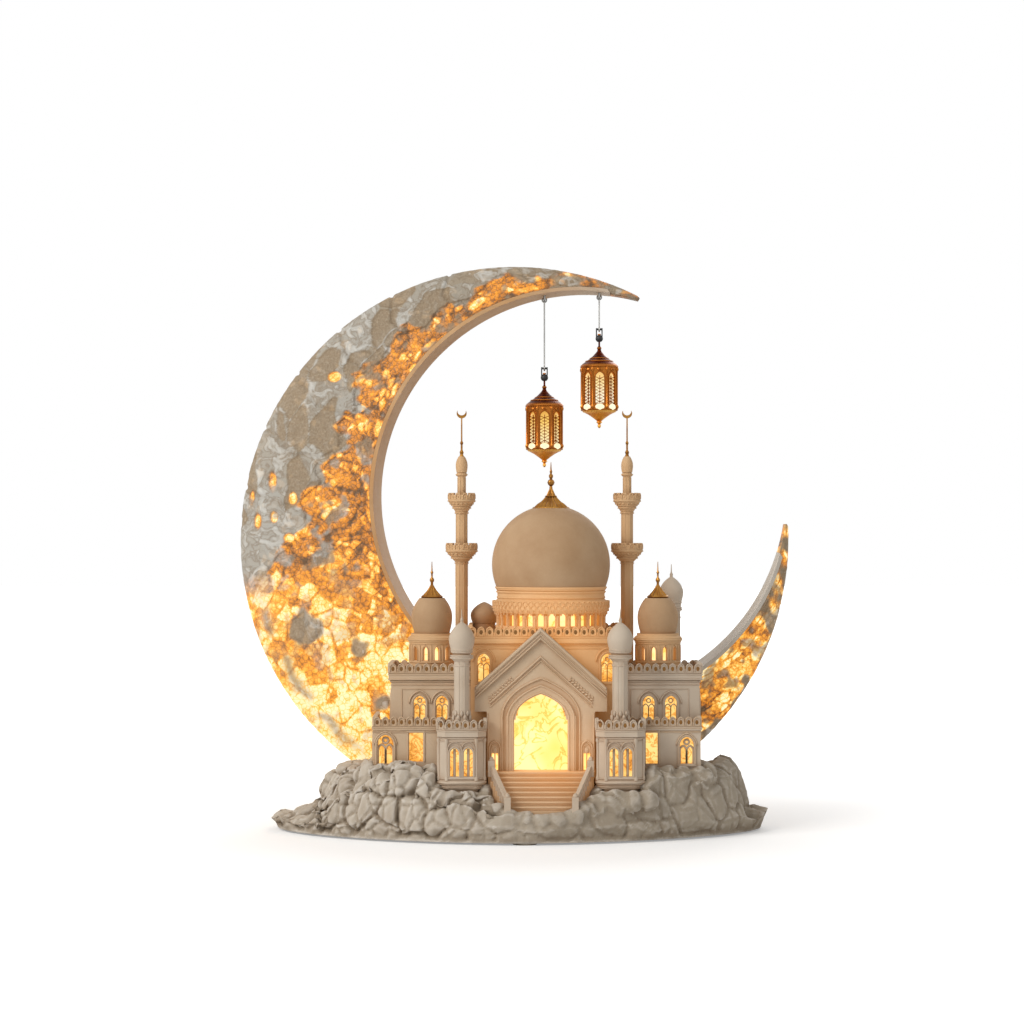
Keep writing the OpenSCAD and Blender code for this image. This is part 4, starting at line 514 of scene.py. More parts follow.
def dress_cad_nodes():
    for finish, names in NODE_FINISHES.items():
        for name in names:
            mesh = cad[name].data
            mesh.materials.clear()
            mesh.materials.append(finish)


dress_cad_nodes()


# Making pieces

SHARP_ANGLE = 40
BEAD_STEPS = 5


def new_piece(name, points, faces, finish, body=BODY, fix_normals=True):
    """A mesh piece from points in millimetres that rides on a body."""
    mesh = bpy.data.meshes.new(name)
    mesh.from_pydata((np.asarray(points, float) * MM).tolist(), [], faces)
    mesh.update()
    if fix_normals:
        work = bmesh.new()
        work.from_mesh(mesh)
        bmesh.ops.recalc_face_normals(work, faces=work.faces)
        work.to_mesh(mesh)
        work.free()
    mesh.shade_smooth()
    mesh.materials.append(finish)
    piece = bpy.data.objects.new(name, mesh)
    bpy.context.scene.collection.objects.link(piece)
    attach(piece, body)
    return piece


def wall(x, y, angle=0.0):
    """Places on a flat wall: along it, out of it and up, with its outer face turned by an angle."""
    turn = math.radians(angle)
    c, s = math.cos(turn), math.sin(turn)
    return lambda along, out, up: (x + c * along + s * out, y + s * along - c * out, up)


def round_wall(x, y, radius):
    """Places on a round wall, measured along its girth from the front."""
    def place(along, out, up):
        turn = along / radius
        return (x + (radius + out) * math.sin(turn), y - (radius + out) * math.cos(turn), up)
    return place


def beside(place, shift):
    """Places on a wall, moved along it by a shift."""
    return lambda along, out, up: place(along + shift, out, up)


def prism_walls(x, y, reach, count, first=0.0):
    """Places on the flat sides of an upright prism, each a reach away from its axis."""
    walls = []
    for i in range(count):
        angle = first + 360 / count * i
        turn = math.radians(angle)
        walls.append(wall(x + reach * math.sin(turn), y - reach * math.cos(turn), angle))
    return walls


def spaced(radius, count, shift=0.0):
    """Places along a round wall's girth, evenly spaced."""
    return [2 * math.pi * radius * (i + shift) / count for i in range(count)]


def arch_path(along, foot, w, h, rise, steps=7):
    """Path of a pointed arch on a wall from its left foot to its right foot, along and up."""
    arc = (w * w / 4 + rise * rise) / w
    last = math.acos((arc - w / 2) / arc)
    turns = [last * i / steps for i in range(steps + 1)]
    left = [(arc - w / 2 - arc * math.cos(t), h - rise + arc * math.sin(t)) for t in turns]
    right = [(-u, z) for u, z in left[-2::-1]]
    path = [(-w / 2, 0.0)] + left + right + [(w / 2, 0.0)]
    return [(u + along, z + foot) for u, z in path]


def bead(width, out, base=0.0, sunk=0.2):
    """Half-round profile of a moulding on a face that stands out from its wall: across and out."""
    turns = [math.pi * i / BEAD_STEPS for i in range(BEAD_STEPS + 1)]
    arc = [(-width / 2 * math.cos(t), base + out * math.sin(t)) for t in turns]
    return arc + [(width / 2, base - sunk), (-width / 2, base - sunk)]


def mitres(path, closed):
    """Sideways direction at each point of a path, lengthened at corners."""
    points = np.array(path)
    steps = np.roll(points, -1, axis=0) - points
    steps /= np.maximum(np.linalg.norm(steps, axis=1, keepdims=True), 1e-9)
    sides = np.stack([-steps[:, 1], steps[:, 0]], axis=1)
    before = np.roll(sides, 1, axis=0)
    if not closed:
        sides[-1] = sides[-2]
        before[0] = sides[0]
    reach = np.maximum(1 + np.sum(sides * before, axis=1, keepdims=True), 0.4)
    return (sides + before) / reach


class Carving:
    """Small cast shapes gathered into one piece."""

    def __init__(self):
        self.points = []
        self.faces = []

    def add(self, points, faces):
        start = len(self.points)
        self.points.extend(points)
        self.faces.extend([start + i for i in face] for face in faces)

    def skin(self, rings, closed=False):
        """Surface over a row of rings, with its ends filled."""
        size, count = len(rings[0]), len(rings)
        faces = []
        for r in range(count if closed else count - 1):
            a, b = r * size, (r + 1) % count * size
            for i in range(size):
                j = (i + 1) % size
                faces.append((a + i, a + j, b + j, b + i))
        if not closed:
            faces.append(tuple(range(size)))
            faces.append(tuple(range((count - 1) * size, count * size)))
        self.add([p for ring in rings for p in ring], faces)

    def moulding(self, place, path, profile, closed=False):
        """Profile run along a path on a wall."""
        rings = []
        for (u, z), (side_u, side_z) in zip(path, mitres(path, closed)):
            rings.append([place(u + side_u * a, out, z + side_z * a) for a, out in profile])
        self.skin(rings, closed)

    def boss(self, place, along, up, length, width, out, turn=0.0, sides=8):
        """Low oval swelling on a wall."""
        c, s = math.cos(math.radians(turn)), math.sin(math.radians(turn))
        rings = []
        for share, rise in ((1.0, -0.15), (0.94, 0.45 * out), (0.62, 0.88 * out), (0.2, out)):
            ring = []
            for i in range(sides):
                angle = 2 * math.pi * i / sides
                u = share * length / 2 * math.cos(angle)
                v = share * width / 2 * math.sin(angle)
                ring.append(place(along + c * u - s * v, rise, up + s * u + c * v))
            rings.append(ring)
        self.skin(rings)

    def band(self, corners, profile):
        """Profile of out and up run round a flat outline with mitred corners."""
        outward = -mitres(corners, True)
        rings = []
        for (x, y), (nx, ny) in zip(corners, outward):
            rings.append([(x + nx * out, y + ny * out, up) for out, up in profile])
        self.skin(rings, True)

    def lathe(self, x, y, outline, steps=24, flutes=0, depth=0.0):
        """Turned shape from radius and height, with flutes drawn in round its girth."""
        rings = []
        for radius, up in outline:
            ring = []
            for i in range(steps):
                turn = 2 * math.pi * i / steps
                r = radius * (1 - depth * abs(math.sin(flutes * turn / 2)) ** 1.4) if flutes else radius
                ring.append((x + r * math.sin(turn), y - r * math.cos(turn), up))
            rings.append(ring)
        self.skin(rings)

    def piece(self, name, finish, slot, body=BODY):
        """The gathered shapes as one smooth piece whose sharp edges stay crisp."""
        piece = new_piece(name, self.points, self.faces, finish, body)
        piece.data.set_sharp_from_angle(angle=math.radians(SHARP_ANGLE))
        return piece


def rectangle(x0, y0, x1, y1):
    return [(x0, y0), (x1, y0), (x1, y1), (x0, y1)]


def line_profile(up, height, out):
    """Profile of a round string course on a wall: out and up."""
    return [(o, up + a) for a, o in bead(height, out, sunk=0.3)]


# Moon

# Inner edge of the crust: direction in degrees and share of the crescent's width, as on the cast shells
CRUST_EDGE = [
    (78, 0.2), (86, 0.7), (93, 0.8), (99, 0.42), (106, 0.52), (113, 0.38), (120, 0.52), (127, 0.42),
    (134, 0.5), (140, 0.34), (146, 0.43), (152, 0.36), (158, 0.5), (164, 0.44), (170, 0.58), (176, 0.5),
    (182, 0.66), (187, 0.84), (193, 1), (263, 1), (273, 0.94), (282, 0.78), (290, 0.88), (300, 0.68),
    (310, 0.8), (320, 0.62), (330, 0.76), (338, 0.6), (346, 0.5), (350, 0.2)]
# Crust that stands alone: direction, share of the width and reach
CRUST_ISLANDS = [(202, 0.66, 9), (214, 0.42, 6), (231, 0.55, 5), (310, 0.36, 7)]
# Cracks through the crust: direction
CRUST_CRACKS = [103, 116, 129, 142, 155, 168]
CRUST_RIM = 4.0
CRUST_STEP = 1.0
# Lit holes in the crust: sideways place, height, half width and half height
LIT_HOLES = [
    (-129, 180, 2.2, 5.5), (-140.5, 172, 1.3, 3.6), (-118, 171, 2.4, 3.4), (-128, 161, 2.0, 3.0),
    (-137, 159, 1.8, 4.0), (-96, 236, 3.6, 3.0), (-120, 150, 3.0, 2.6)]
# How bright the lit skin is, and how many of its cells are large, by direction in degrees
GLOW_LEVEL = [
    (60, 0.42), (110, 0.44), (150, 0.46), (185, 0.47), (205, 0.57), (225, 0.7), (262, 0.76), (284, 0.55),
    (300, 0.6), (320, 0.66), (345, 0.6), (366, 0.5)]
LARGE_SHARE = [
    (60, 0.25), (150, 0.35), (185, 0.55), (200, 0.75), (262, 0.85), (284, 0.1), (310, 0.4), (366, 0.3)]
# How cold the crust's grey is, by direction in degrees
GREY_LEVEL = [
    (60, 0.25), (95, 0.5), (120, 0.75), (185, 0.85), (215, 0.6), (262, 0.3), (290, 0.12), (366, 0.2)]
# Cells of the skin: spacing in millimetres, tries, seed and how unevenly they swell
SMALL_CELLS = (3.1, 46000, 5, 2.0)
LARGE_CELLS = (7.5, 16000, 7, 3.0)
LONG_CELLS = (2.6, 26000, 9, 1.0)
PLATE_CELLS = (9.5, 9000, 3, 6.0)
# Rings at each end of the rim's seat, and steps that measure an arc across the moon
SEAT_RINGS = 40
ARC_STEPS = 160


def opening_radius(depth):
    """Radius of the moon's opening at a depth."""
    reach = MOON_HALF * TAPER_SHARE
    return OPENING_FRONT_R + (OPENING_BACK_R - OPENING_FRONT_R) * (depth - MOON_Y + reach) / (2 * reach)


def opening_reach(turns, radius):
    """Distance from the moon's centre to the opening's wall in each direction."""
    toward = np.cos(turns) * OPENING[0] + np.sin(turns) * OPENING[1]
    return toward + np.sqrt(np.maximum(toward ** 2 - OPENING @ OPENING + radius ** 2, 0))


def smooth_step(low, high, value):
    t = np.clip((value - low) / (high - low), 0, 1)
    return t * t * (3 - 2 * t)


def by_direction(table, degrees):
    return np.interp(degrees, *zip(*table))


def cloud(points, period, seed=0.0):
    """Smooth noise over points, with a period in millimetres."""
    shift = Vector((seed, -seed, 2 * seed))
    return np.array([noise.noise(Vector(p) / period + shift) for p in points])


def clouds(points, period, seeds):
    """Three smooth noises over points, side by side as a shift of each point."""
    return np.stack([cloud(points, period, seed) for seed in seeds], axis=1)


def crescent_rings(along, front_steps, back_steps):
    """Points of the crescent by rings closed round its section, their run across it and the rings' turns."""
    axis = math.atan2(OPENING[1], OPENING[0])
    shift = np.linalg.norm(OPENING)
    inner_rise = math.sqrt(OPENING_FRONT_R ** 2 - (HORN_REACH - shift) ** 2)
    half_gap = math.atan2(inner_rise, HORN_REACH)
    turns = np.linspace(half_gap, 2 * math.pi - half_gap, along + 1)
    seat_r = np.linspace(OPENING_BACK_R - 1, OPENING_FRONT_R + RIM_STEP + 1, SEAT_RINGS)
    seat = np.arctan2(np.sqrt(seat_r ** 2 - (RIM_REACH - shift) ** 2), RIM_REACH)
    turns = axis + np.sort(np.concatenate([turns, seat, 2 * math.pi - seat]))
    ahead = np.cos(turns - axis)
    cut = np.where(ahead > 0.05, HORN_REACH / np.maximum(ahead, 0.05), 10 * MOON_R)
    outer = np.minimum(MOON_R, cut)
    edge = {}
    for side in (-1, 1):
        reach = outer.copy()
        for _ in range(8):
            depth = MOON_Y + side * MOON_HALF * np.sqrt(np.maximum(1 - (reach / MOON_R) ** 2, 0))
            bare = opening_reach(turns, opening_radius(depth))
            seated = opening_reach(turns, opening_radius(depth) + RIM_STEP)
            reach = np.minimum(np.clip(cut * RIM_REACH / HORN_REACH, bare, seated), outer - 0.3)
        edge[side] = reach
    shares = {-1: np.linspace(0, 1, front_steps), 1: np.linspace(1, 0, back_steps + 1)[1:]}
    points, run = [], []
    for i, turn in enumerate(turns):
        for side in (-1, 1):
            first = math.asin(min(edge[side][i] / MOON_R, 1))
            last = math.asin(min(outer[i] / MOON_R, 1))
            fine = np.linspace(first, last, ARC_STEPS)
            speed = np.hypot(MOON_R * np.cos(fine), MOON_HALF * np.sin(fine))
            length = np.concatenate([[0], np.cumsum((speed[1:] + speed[:-1]) / 2)]) * (fine[1] - fine[0])
            lean = np.interp(shares[side] * length[-1], length, fine)
            reach = MOON_R * np.sin(lean)
            depth = MOON_Y + side * MOON_HALF * np.cos(lean)
            place = [math.cos(turn) * reach, depth, MOON_Z + math.sin(turn) * reach]
            points.append(np.stack(place, axis=1))
            run.append(shares[side] * length[-1])
    return np.concatenate(points), np.concatenate(run), turns


def scatter(points, spacing, tries, seed):
    """Indices of points picked so that none lies nearer to another than a spacing."""
    draw = np.random.default_rng(seed)
    steps = [(a, b, c) for a in (-1, 0, 1) for b in (-1, 0, 1) for c in (-1, 0, 1)]
    cells, kept = {}, []
    for index in draw.integers(0, len(points), tries):
        p = points[index]
        key = tuple((p // spacing).astype(int))
        around = [cells.get((key[0] + a, key[1] + b, key[2] + c), ()) for a, b, c in steps]
        if all(np.sum((p - q) ** 2) > spacing ** 2 for group in around for q in group):
            cells.setdefault(key, []).append(p)
            kept.append(index)
    return np.array(kept)


class Cells:
    """Broken-up pattern of cells over points: each point's cell and how far inside it the point lies."""

    def __init__(self, points, spacing, tries, seed, swell):
        self.seeds = scatter(points, spacing, tries, seed)
        draw = np.random.default_rng(seed + 1)
        self.chance = draw.random(len(self.seeds))
        self.size = draw.random(len(self.seeds)) ** 2 * swell
        tree = KDTree(len(self.seeds))
        for i, index in enumerate(self.seeds):
            tree.insert(points[index], i)
        tree.balance()
        self.owner = np.zeros(len(points), int)
        self.inside = np.zeros(len(points))
        for n, p in enumerate(points):
            found = sorted((d - self.size[i], i) for _, i, d in tree.find_n(p, 5))
            self.owner[n] = found[0][1]
            self.inside[n] = found[1][0] - found[0][0]

    def of(self, values):
        """Values given by cell, spread over the points."""
        return values[self.owner]


def crust_depth(points, degrees, share, width, wobble):
    """How far inside the crust's edge each point lies, in millimetres, and the same for its islands."""
    limit = 1 - CRUST_RIM / np.maximum(width, 2 * CRUST_RIM)
    edge = np.minimum(by_direction(CRUST_EDGE, degrees + 1.2 * wobble), limit)
    depth = (share - edge) * width + 1.6 * wobble
    depth = np.where((degrees < CRUST_EDGE[0][0]) | (degrees > CRUST_EDGE[-1][0]), 5.0, depth)
    island = np.full(len(points), -9.0)
    for turn, middle, reach in CRUST_ISLANDS:
        angle = np.array([math.radians(turn)])
        inner = opening_reach(angle, OPENING_FRONT_R)[0]
        far = inner + middle * (MOON_R - inner)
        x, z = far * math.cos(angle[0]), MOON_Z + far * math.sin(angle[0])
        island = np.maximum(island, 0.93 * reach + wobble - np.hypot(points[:, 0] - x, points[:, 2] - z))
    return depth, island


def crack_mask(degrees, share, wobble):
    """Mask of the cracks that run through the crust."""
    bend = 3 * (1 - np.abs(share - 0.68) / 0.36)
    near = [np.abs(degrees - turn - bend - 0.35 - 0.5 * wobble) for turn in CRUST_CRACKS]
    return (1 - smooth_step(0.2, 0.6, np.min(near, axis=0))) * (share > 0.3)


def hole_depth(points, wobble):
    """How far inside the nearest lit hole each point lies."""
    hole = np.full(len(points), -1.0)
    for x, z, half_w, half_h in LIT_HOLES:
        near = np.hypot((points[:, 0] - x) / half_w, (points[:, 2] - z) / half_h)
        hole = np.maximum(hole, (1 - near) * min(half_w, half_h) + 0.3 * wobble)
    return hole


class MoonSkin:
    """Points of the crescent, the masks that its finish reads and its relief."""

    def __init__(self, along, front_steps, back_steps):
        self.points, self.run, turns = crescent_rings(along, front_steps, back_steps)
        self.rings, self.size, self.front_steps = len(turns), front_steps + back_steps, front_steps
        self.degrees = np.repeat(np.degrees(turns), self.size)
        inner = opening_reach(np.radians(self.degrees), OPENING_FRONT_R)
        self.width = np.maximum(MOON_R - inner, 1.0)
        self.share = (np.hypot(self.points[:, 0], self.points[:, 2] - MOON_Z) - inner) / self.width
        self.pale_edge = smooth_step(186, 194, self.degrees) * (1 - smooth_step(272, 282, self.degrees))
        self.wobble = cloud(self.points, 9.0) + 0.5 * cloud(self.points, 3.5, 4.0)
        self.ragged = cloud(self.points, 13.0, 15.0) + 0.6 * cloud(self.points, 5.0, 16.0)
        self.warped = self.points + 1.5 * clouds(self.points, 8.0, (1.0, 2.0, 3.0))
        self.lay_cells()
        self.lay_crust()
        self.lay_light()

    def unrolled(self, radius, run):
        """Points laid out flat, along the moon and across it, with its two sides far apart."""
        side = np.where(self.points[:, 1] < MOON_Y, 0.0, 1000.0)
        return np.stack([np.radians(self.degrees) * radius, run, side], axis=1)

    def lay_cells(self):
        """Lit cells: small ones, large ones by direction and long ones along the inner edge."""
        small = Cells(self.warped, *SMALL_CELLS)
        large = Cells(self.warped, *LARGE_CELLS)
        long = Cells(self.unrolled(52, self.run + 0.8 * self.wobble), *LONG_CELLS)
        long_on = long.of(self.run[long.seeds] < 5 + 5 * long.chance)
        large_on = large.of(large.chance < by_direction(LARGE_SHARE, self.degrees[large.seeds])) & ~long_on
        inside = np.where(large_on, large.inside, small.inside)
        chance = np.where(large_on, large.of(large.chance), small.of(small.chance))
        self.inside = np.where(long_on, long.inside, inside)
        self.chance = np.where(long_on, long.of(long.chance), chance)
        lit_share = np.where(large_on, 0.25, 0.55) - 0.25 * smooth_step(190, 225, self.degrees)
        self.lamp = smooth_step(lit_share, lit_share + 0.3, self.chance) * smooth_step(0.15, 1.7, self.inside)

    def lay_crust(self):
        """Crust, its flat plates and the holes that light comes through."""
        bent = self.unrolled(80, self.run) + 4.5 * clouds(self.points, 13.0, (11.0, 12.0, 13.0))
        plates = Cells(bent, *PLATE_CELLS)
        odds = plates.of(plates.chance)
        depth, island = crust_depth(self.points, self.degrees, self.share, self.width, self.wobble)
        self.hole = hole_depth(self.points, self.wobble)
        solid = np.minimum(np.maximum(depth, island), -self.hole)
        self.crust = smooth_step(-0.45, 0.45, solid)
        self.crack = crack_mask(self.degrees, self.share, self.wobble)
        self.grey = self.grey_mask(depth, island)
        self.flat_plate = smooth_step(0.7, 1.5, plates.inside) * (odds < 0.5)
        self.cold = by_direction(GREY_LEVEL, self.degrees) + 0.35 * (odds - 0.5)
        plate_line = (1 - smooth_step(0.15, 0.75, np.abs(plates.inside - 1.0))) * (odds < 0.5)
        self.seam = self.seam_mask(plate_line, solid)

    def grey_mask(self, depth, island):
        """How grey the skin is: torn crust, islands, thin veils and a streak along the outer edge."""
        points, degrees, warped, ragged = self.points, self.degrees, self.warped, self.ragged
        right = smooth_step(272, 290, degrees)
        torn = smooth_step(-1.4, 1.4, depth - 6 * right + (8 + 4 * right) * ragged)
        torn *= smooth_step(0.4, -0.4, self.hole)
        veil = 0.8 * smooth_step(0.1, 0.42, cloud(warped, 12.0, 17.0) + 0.7 * cloud(warped, 4.0, 18.0))
        streak = np.exp(-((self.share - 0.9 - 0.03 * self.wobble) / 0.042) ** 2)
        streak *= (1 - smooth_step(224, 242, degrees)) * smooth_step(-0.6, 0.05, cloud(points, 9.0, 19.0))
        grey = np.maximum(torn * (1 - self.pale_edge), smooth_step(-1.5, 1.5, island + 4.0 * ragged))
        grey = np.maximum(grey, veil * (1 - 0.5 * self.pale_edge))
        grey = np.maximum(grey, 0.85 * self.pale_edge * streak)
        tips = (degrees < 82) | (degrees > 344)
        return np.where(tips, np.clip(0.5 + 1.6 * self.wobble, 0, 1), grey)

    def seam_mask(self, plate_line, solid):
        """Dark lines round plates, cells and the crust's edge."""
        dark = 1 - self.pale_edge
        edge_line = 1 - smooth_step(0.1, 0.9, np.abs(solid))
        cell_line = 1 - smooth_step(0.05, 0.5, self.inside)
        cell_line *= (0.55 - 0.3 * self.pale_edge) * smooth_step(-0.2, 0.3, self.ragged)
        seam = np.where(self.crust > 0.5, np.maximum(0.8 * plate_line, 0.35 * self.crack), cell_line)
        return np.maximum(seam, 0.7 * edge_line * dark * smooth_step(-0.3, 0.2, self.wobble))

    def lay_light(self):
        """Brown veins through the lit skin and how brightly it glows."""
        warped, share = self.warped, self.share
        line = np.abs(cloud(warped, 21.0, 6.0) + 0.35 * cloud(warped, 7.0, 8.0))
        self.vein = (1 - smooth_step(0.02, 0.16, line)) * (0.85 - 0.6 * self.pale_edge)
        glow = by_direction(GLOW_LEVEL, self.degrees) - 0.12 * smooth_step(0.3, 0.0, share)
        glow += 0.14 * self.pale_edge * smooth_step(0.7, 1.0, share)
        glow += 0.42 * self.lamp + 0.12 * (self.chance - 0.5) + 0.1 * cloud(self.points, 30.0, 5.0)
        self.glow = glow + 0.22 * cloud(warped, 2.4, 31.0) + 0.4 * smooth_step(-0.2, 0.6, self.hole)

    def relief(self):
        """Points with the relief in them, always inwards from the cast shell."""
        points, size = self.points, self.size
        dome = smooth_step(0, 1.6, self.inside)
        lit_up = -CRUST_STEP - 0.3 + 0.42 * dome + 0.2 * (self.chance - 0.5) - 0.18 * self.vein
        crust_up = -0.18 + 0.14 * cloud(points, 2.6, 9.0) - 0.3 * self.flat_plate - 0.9 * self.crack
        height = lit_up + (crust_up - lit_up) * self.crust
        section = np.linalg.norm(points[::size] - points[self.front_steps - 1::size], axis=1)
        fade = smooth_step(0.0, 2.0, self.run) * np.clip(np.repeat(section, size) / 14, 0.05, 1)
        normal = (points - np.array([0, MOON_Y, MOON_Z])) / np.array([MOON_R, MOON_HALF, MOON_R]) ** 2
        normal /= np.linalg.norm(normal, axis=1, keepdims=True)
        moved = points + normal * (np.minimum(height, -0.03) * fade)[:, None]
        moved[:, 2] = np.maximum(moved[:, 2], MOON_SEAT)
        return moved

    def faces(self):
        """Faces between the rings, with both ends filled."""
        size, last = self.size, self.rings - 1
        faces = []
        for r in range(last):
            a, b = r * size, (r + 1) * size
            faces.extend((a + i, a + (i + 1) % size, b + (i + 1) % size, b + i) for i in range(size))
        return faces + [tuple(range(size)), tuple(range(last * size, (last + 1) * size))]


def make_crescent():
    skin = MoonSkin(860, 108, 54)
    piece = new_piece("crescent_skin", skin.relief(), skin.faces(), MOON)
    masks = {
        "crust": skin.grey, "plate": skin.flat_plate, "cold": skin.cold, "seam": skin.seam,
        "vein": skin.vein, "glow": skin.glow}
    for name, values in masks.items():
        layer = piece.data.attributes.new(name, "FLOAT", "POINT")
        layer.data.foreach_set("value", np.clip(values, 0, 1).astype(np.float32))
    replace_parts(piece, "crescent_front_shell", "crescent_back_shell")


make_crescent()


# Rock

rock_low, rock_high = box_mm("rock_base")
# Stones against the walls and round the stairs: place of the middle and half sizes
STONES = [
    (-16, -57, 18, 7, 5, 7), (-9, -60, 15, 6, 4.5, 6), (-23, -58, 19.5, 8, 4.5, 7), (-3, -63, 12.6, 6, 4, 5),
    (5, -64.4, 12, 6, 3.6, 4.4), (13, -65, 11.6, 6, 3.4, 4.4), (21, -64.4, 12, 6, 3.6, 4.4),
    (29, -63, 13, 6, 4, 5), (35, -60, 15.6, 7, 4.5, 6), (42, -57, 18.4, 7, 5, 7), (50, -58, 19.5, 8, 4.5, 7),
    (-39, -50, 22, 5, 6, 7), (-38, -56, 21, 6, 4, 6), (-31, -57.6, 20, 6, 4, 6), (58, -57.6, 20, 6, 4, 6),
    (65.4, -56, 21, 6, 4, 6), (66.4, -49, 23, 5, 6, 8), (-45, -43, 30, 6, 5, 8), (-52, -42, 31, 7, 5, 8),
    (-60, -41, 32, 7, 5, 7), (-67, -40, 31.5, 7, 5, 7), (-73, -33, 31, 6, 7, 7), (69, -42, 29, 6, 5, 8),
    (76, -41, 30, 7, 5, 7), (84, -40, 30, 7, 5, 6), (92, -38, 29, 7, 5, 7), (97, -30, 30, 6, 7, 7),
    (-42, -45, 31, 5.5, 6, 7), (-14.5, -49, 21, 4.5, 6, 7), (41, -49, 21, 4.5, 6, 7),
    (68, -45, 31, 5.5, 6, 7), (-33, -53.5, 19, 7, 4.5, 6), (-20, -53.5, 19, 7, 4.5, 6),
    (46, -53.5, 19, 7, 4.5, 6), (59, -53.5, 19, 7, 4.5, 6)]
# Boulders and stones of the skin: spacing in millimetres, tries, seed and how unevenly they swell
BOULDER_CELLS = (11.0, 9000, 31, 5.0)
STONE_CELLS = (5.6, 20000, 33, 2.5)
# Directions down the left and the right slope
DOWN_LEFT = (-0.6, -0.3, -0.74)
DOWN_RIGHT = (0.7, -0.3, -0.65)
# Grain of the remeshed rock in metres
ROCK_VOXEL = 0.0009


def unit_ball(rounds):
    work = bmesh.new()
    bmesh.ops.create_icosphere(work, subdivisions=rounds, radius=1)
    points = np.array([v.co[:] for v in work.verts])
    faces = [tuple(v.index for v in f.verts) for f in work.faces]
    work.free()
    return points, faces


def round_lump(inside, reach):
    """How far a rounded lump's skin falls in toward its edge, from 0 in its middle to 1."""
    near = 1 - np.minimum(inside / reach, 1)
    return 1 - np.sqrt(1 - near ** 2)


def rock_folds(points):
    """How far the rock's skin falls in at each point: heaped boulders, drawn out down the slopes."""
    left = 1 - smooth_step(-20, 40, points[:, 0])
    down = np.where(points[:, :1] < 5, DOWN_LEFT, DOWN_RIGHT)
    along = np.sum(points * down, axis=1, keepdims=True)
    drawn = points - (0.5 - 0.25 * left[:, None]) * along * down
    drawn += 2.6 * clouds(points, 11.0, (1.0, 2.0, 3.0))
    boulders = Cells(drawn, *BOULDER_CELLS)
    stones = Cells(drawn, *STONE_CELLS)
    sink = (2.4 + 2.0 * left) * round_lump(boulders.inside, 8.0 - left)
    sink += (0.6 + 1.1 * left) * round_lump(stones.inside, 3.6)
    sink += (0.2 + 0.25 * left) * (1 + cloud(drawn, 3.0, 23.0)) + 0.1 * (1 + cloud(points, 1.6, 4.0))
    middle, half = (rock_low + rock_high) / 2, (rock_high - rock_low) / 2
    out = np.hypot(*((points - middle) / half).T[:2])
    return sink * (1 - 0.7 * smooth_step(0.92, 1.0, out))


def cad_shapes(*nodes):
    """CAD nodes gathered into one carving, in millimetres."""
    shapes = Carving()
    for node in nodes:
        mesh = cad[node].data
        points = np.zeros(len(mesh.vertices) * 3, np.float32)
        mesh.vertices.foreach_get("co", points)
        shapes.add((points.reshape(-1, 3) / MM).tolist(), [tuple(p.vertices) for p in mesh.polygons])
    return shapes


def make_rock():
    """Rock from its cast shell and the stones, with boulders pressed in away from what stands on it."""
    lumps = cad_shapes("rock_base")
    built = cad_shapes(
        "terrace", "front_stairs", "stair_rails", "left_pavilion", "right_pavilion", "left_wing",
        "right_wing", "crescent_front_shell", "crescent_back_shell")
    near = BVHTree.FromPolygons(built.points, built.faces)
    ball, ball_faces = unit_ball(3)
    for x, y, z, *half in STONES:
        rough = 1 + 0.3 * cloud(ball * half + (x, y, z), 5.0, 2.0)
        lumps.add((ball * half * rough[:, None] + (x, y, z)).tolist(), ball_faces)
    piece = new_piece("rock_crags", lumps.points, lumps.faces, ROCK, fix_normals=False)
    mesh = piece.data
    mesh.remesh_voxel_size = ROCK_VOXEL
    mesh.remesh_voxel_adaptivity = 0
    bpy.context.view_layer.objects.active = piece
    bpy.ops.object.voxel_remesh()
    flat = np.zeros(len(mesh.vertices) * 3, np.float32)
    mesh.vertices.foreach_get("co", flat)
    points = flat.reshape(-1, 3).astype(float) / MM
    mesh.vertex_normals.foreach_get("vector", flat)
    normals = flat.reshape(-1, 3)
    outside = smooth_step(-0.97, -0.8, normals[:, 2])
    outside *= smooth_step(rock_low[2], rock_low[2] + 2, points[:, 2])
    calm = smooth_step(0.5, 8.0, np.array([near.find_nearest(p)[3] for p in points]))
    points -= normals * (rock_folds(points) * outside * calm)[:, None]
    points = np.clip(points, rock_low, rock_high)
    mesh.vertices.foreach_set("co", (points * MM).ravel())
    mesh.update()
    mesh.shade_smooth()
    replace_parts(piece, "rock_base")


make_rock()


# Carved plaster

FRAME_OUT = 0.6
CORNICE_H = 3.5
TOWER_HALF = 20.0
portal_low, portal_high = box_mm("portal")
BORDER_OUT = 1.4
PORTAL_WALL = wall(axis_mm("portal")[0], portal_low[1] + BORDER_OUT)
DOOR_W, DOOR_H = 27.0, 38.5
NICHE_X = 22.9
GABLE_HALF = (portal_high[0] - portal_low[0]) / 2
EAVES_Z = FLOOR_Z + 41.5
PEAK_Z = portal_high[2]
GABLE_SLOPE = (PEAK_Z - EAVES_Z) / GABLE_HALF
TOWER_XS = [left_tower_low[0] + TOWER_HALF + CORNICE_OUT, right_tower_high[0] - TOWER_HALF - CORNICE_OUT]
TOWER_FRONT = left_tower_low[1] + CORNICE_OUT
TOWER_BACK = left_tower_high[1] - CORNICE_OUT
TOWER_Y = (TOWER_FRONT + TOWER_BACK) / 2
TRACERY_IN = -1.3
RING_SIDES = 6


# Gilded hollows of the parapets: dark gilt bosses that also paint the shade of the loops' cavities
GILDING_AND_SHADE = Carving()


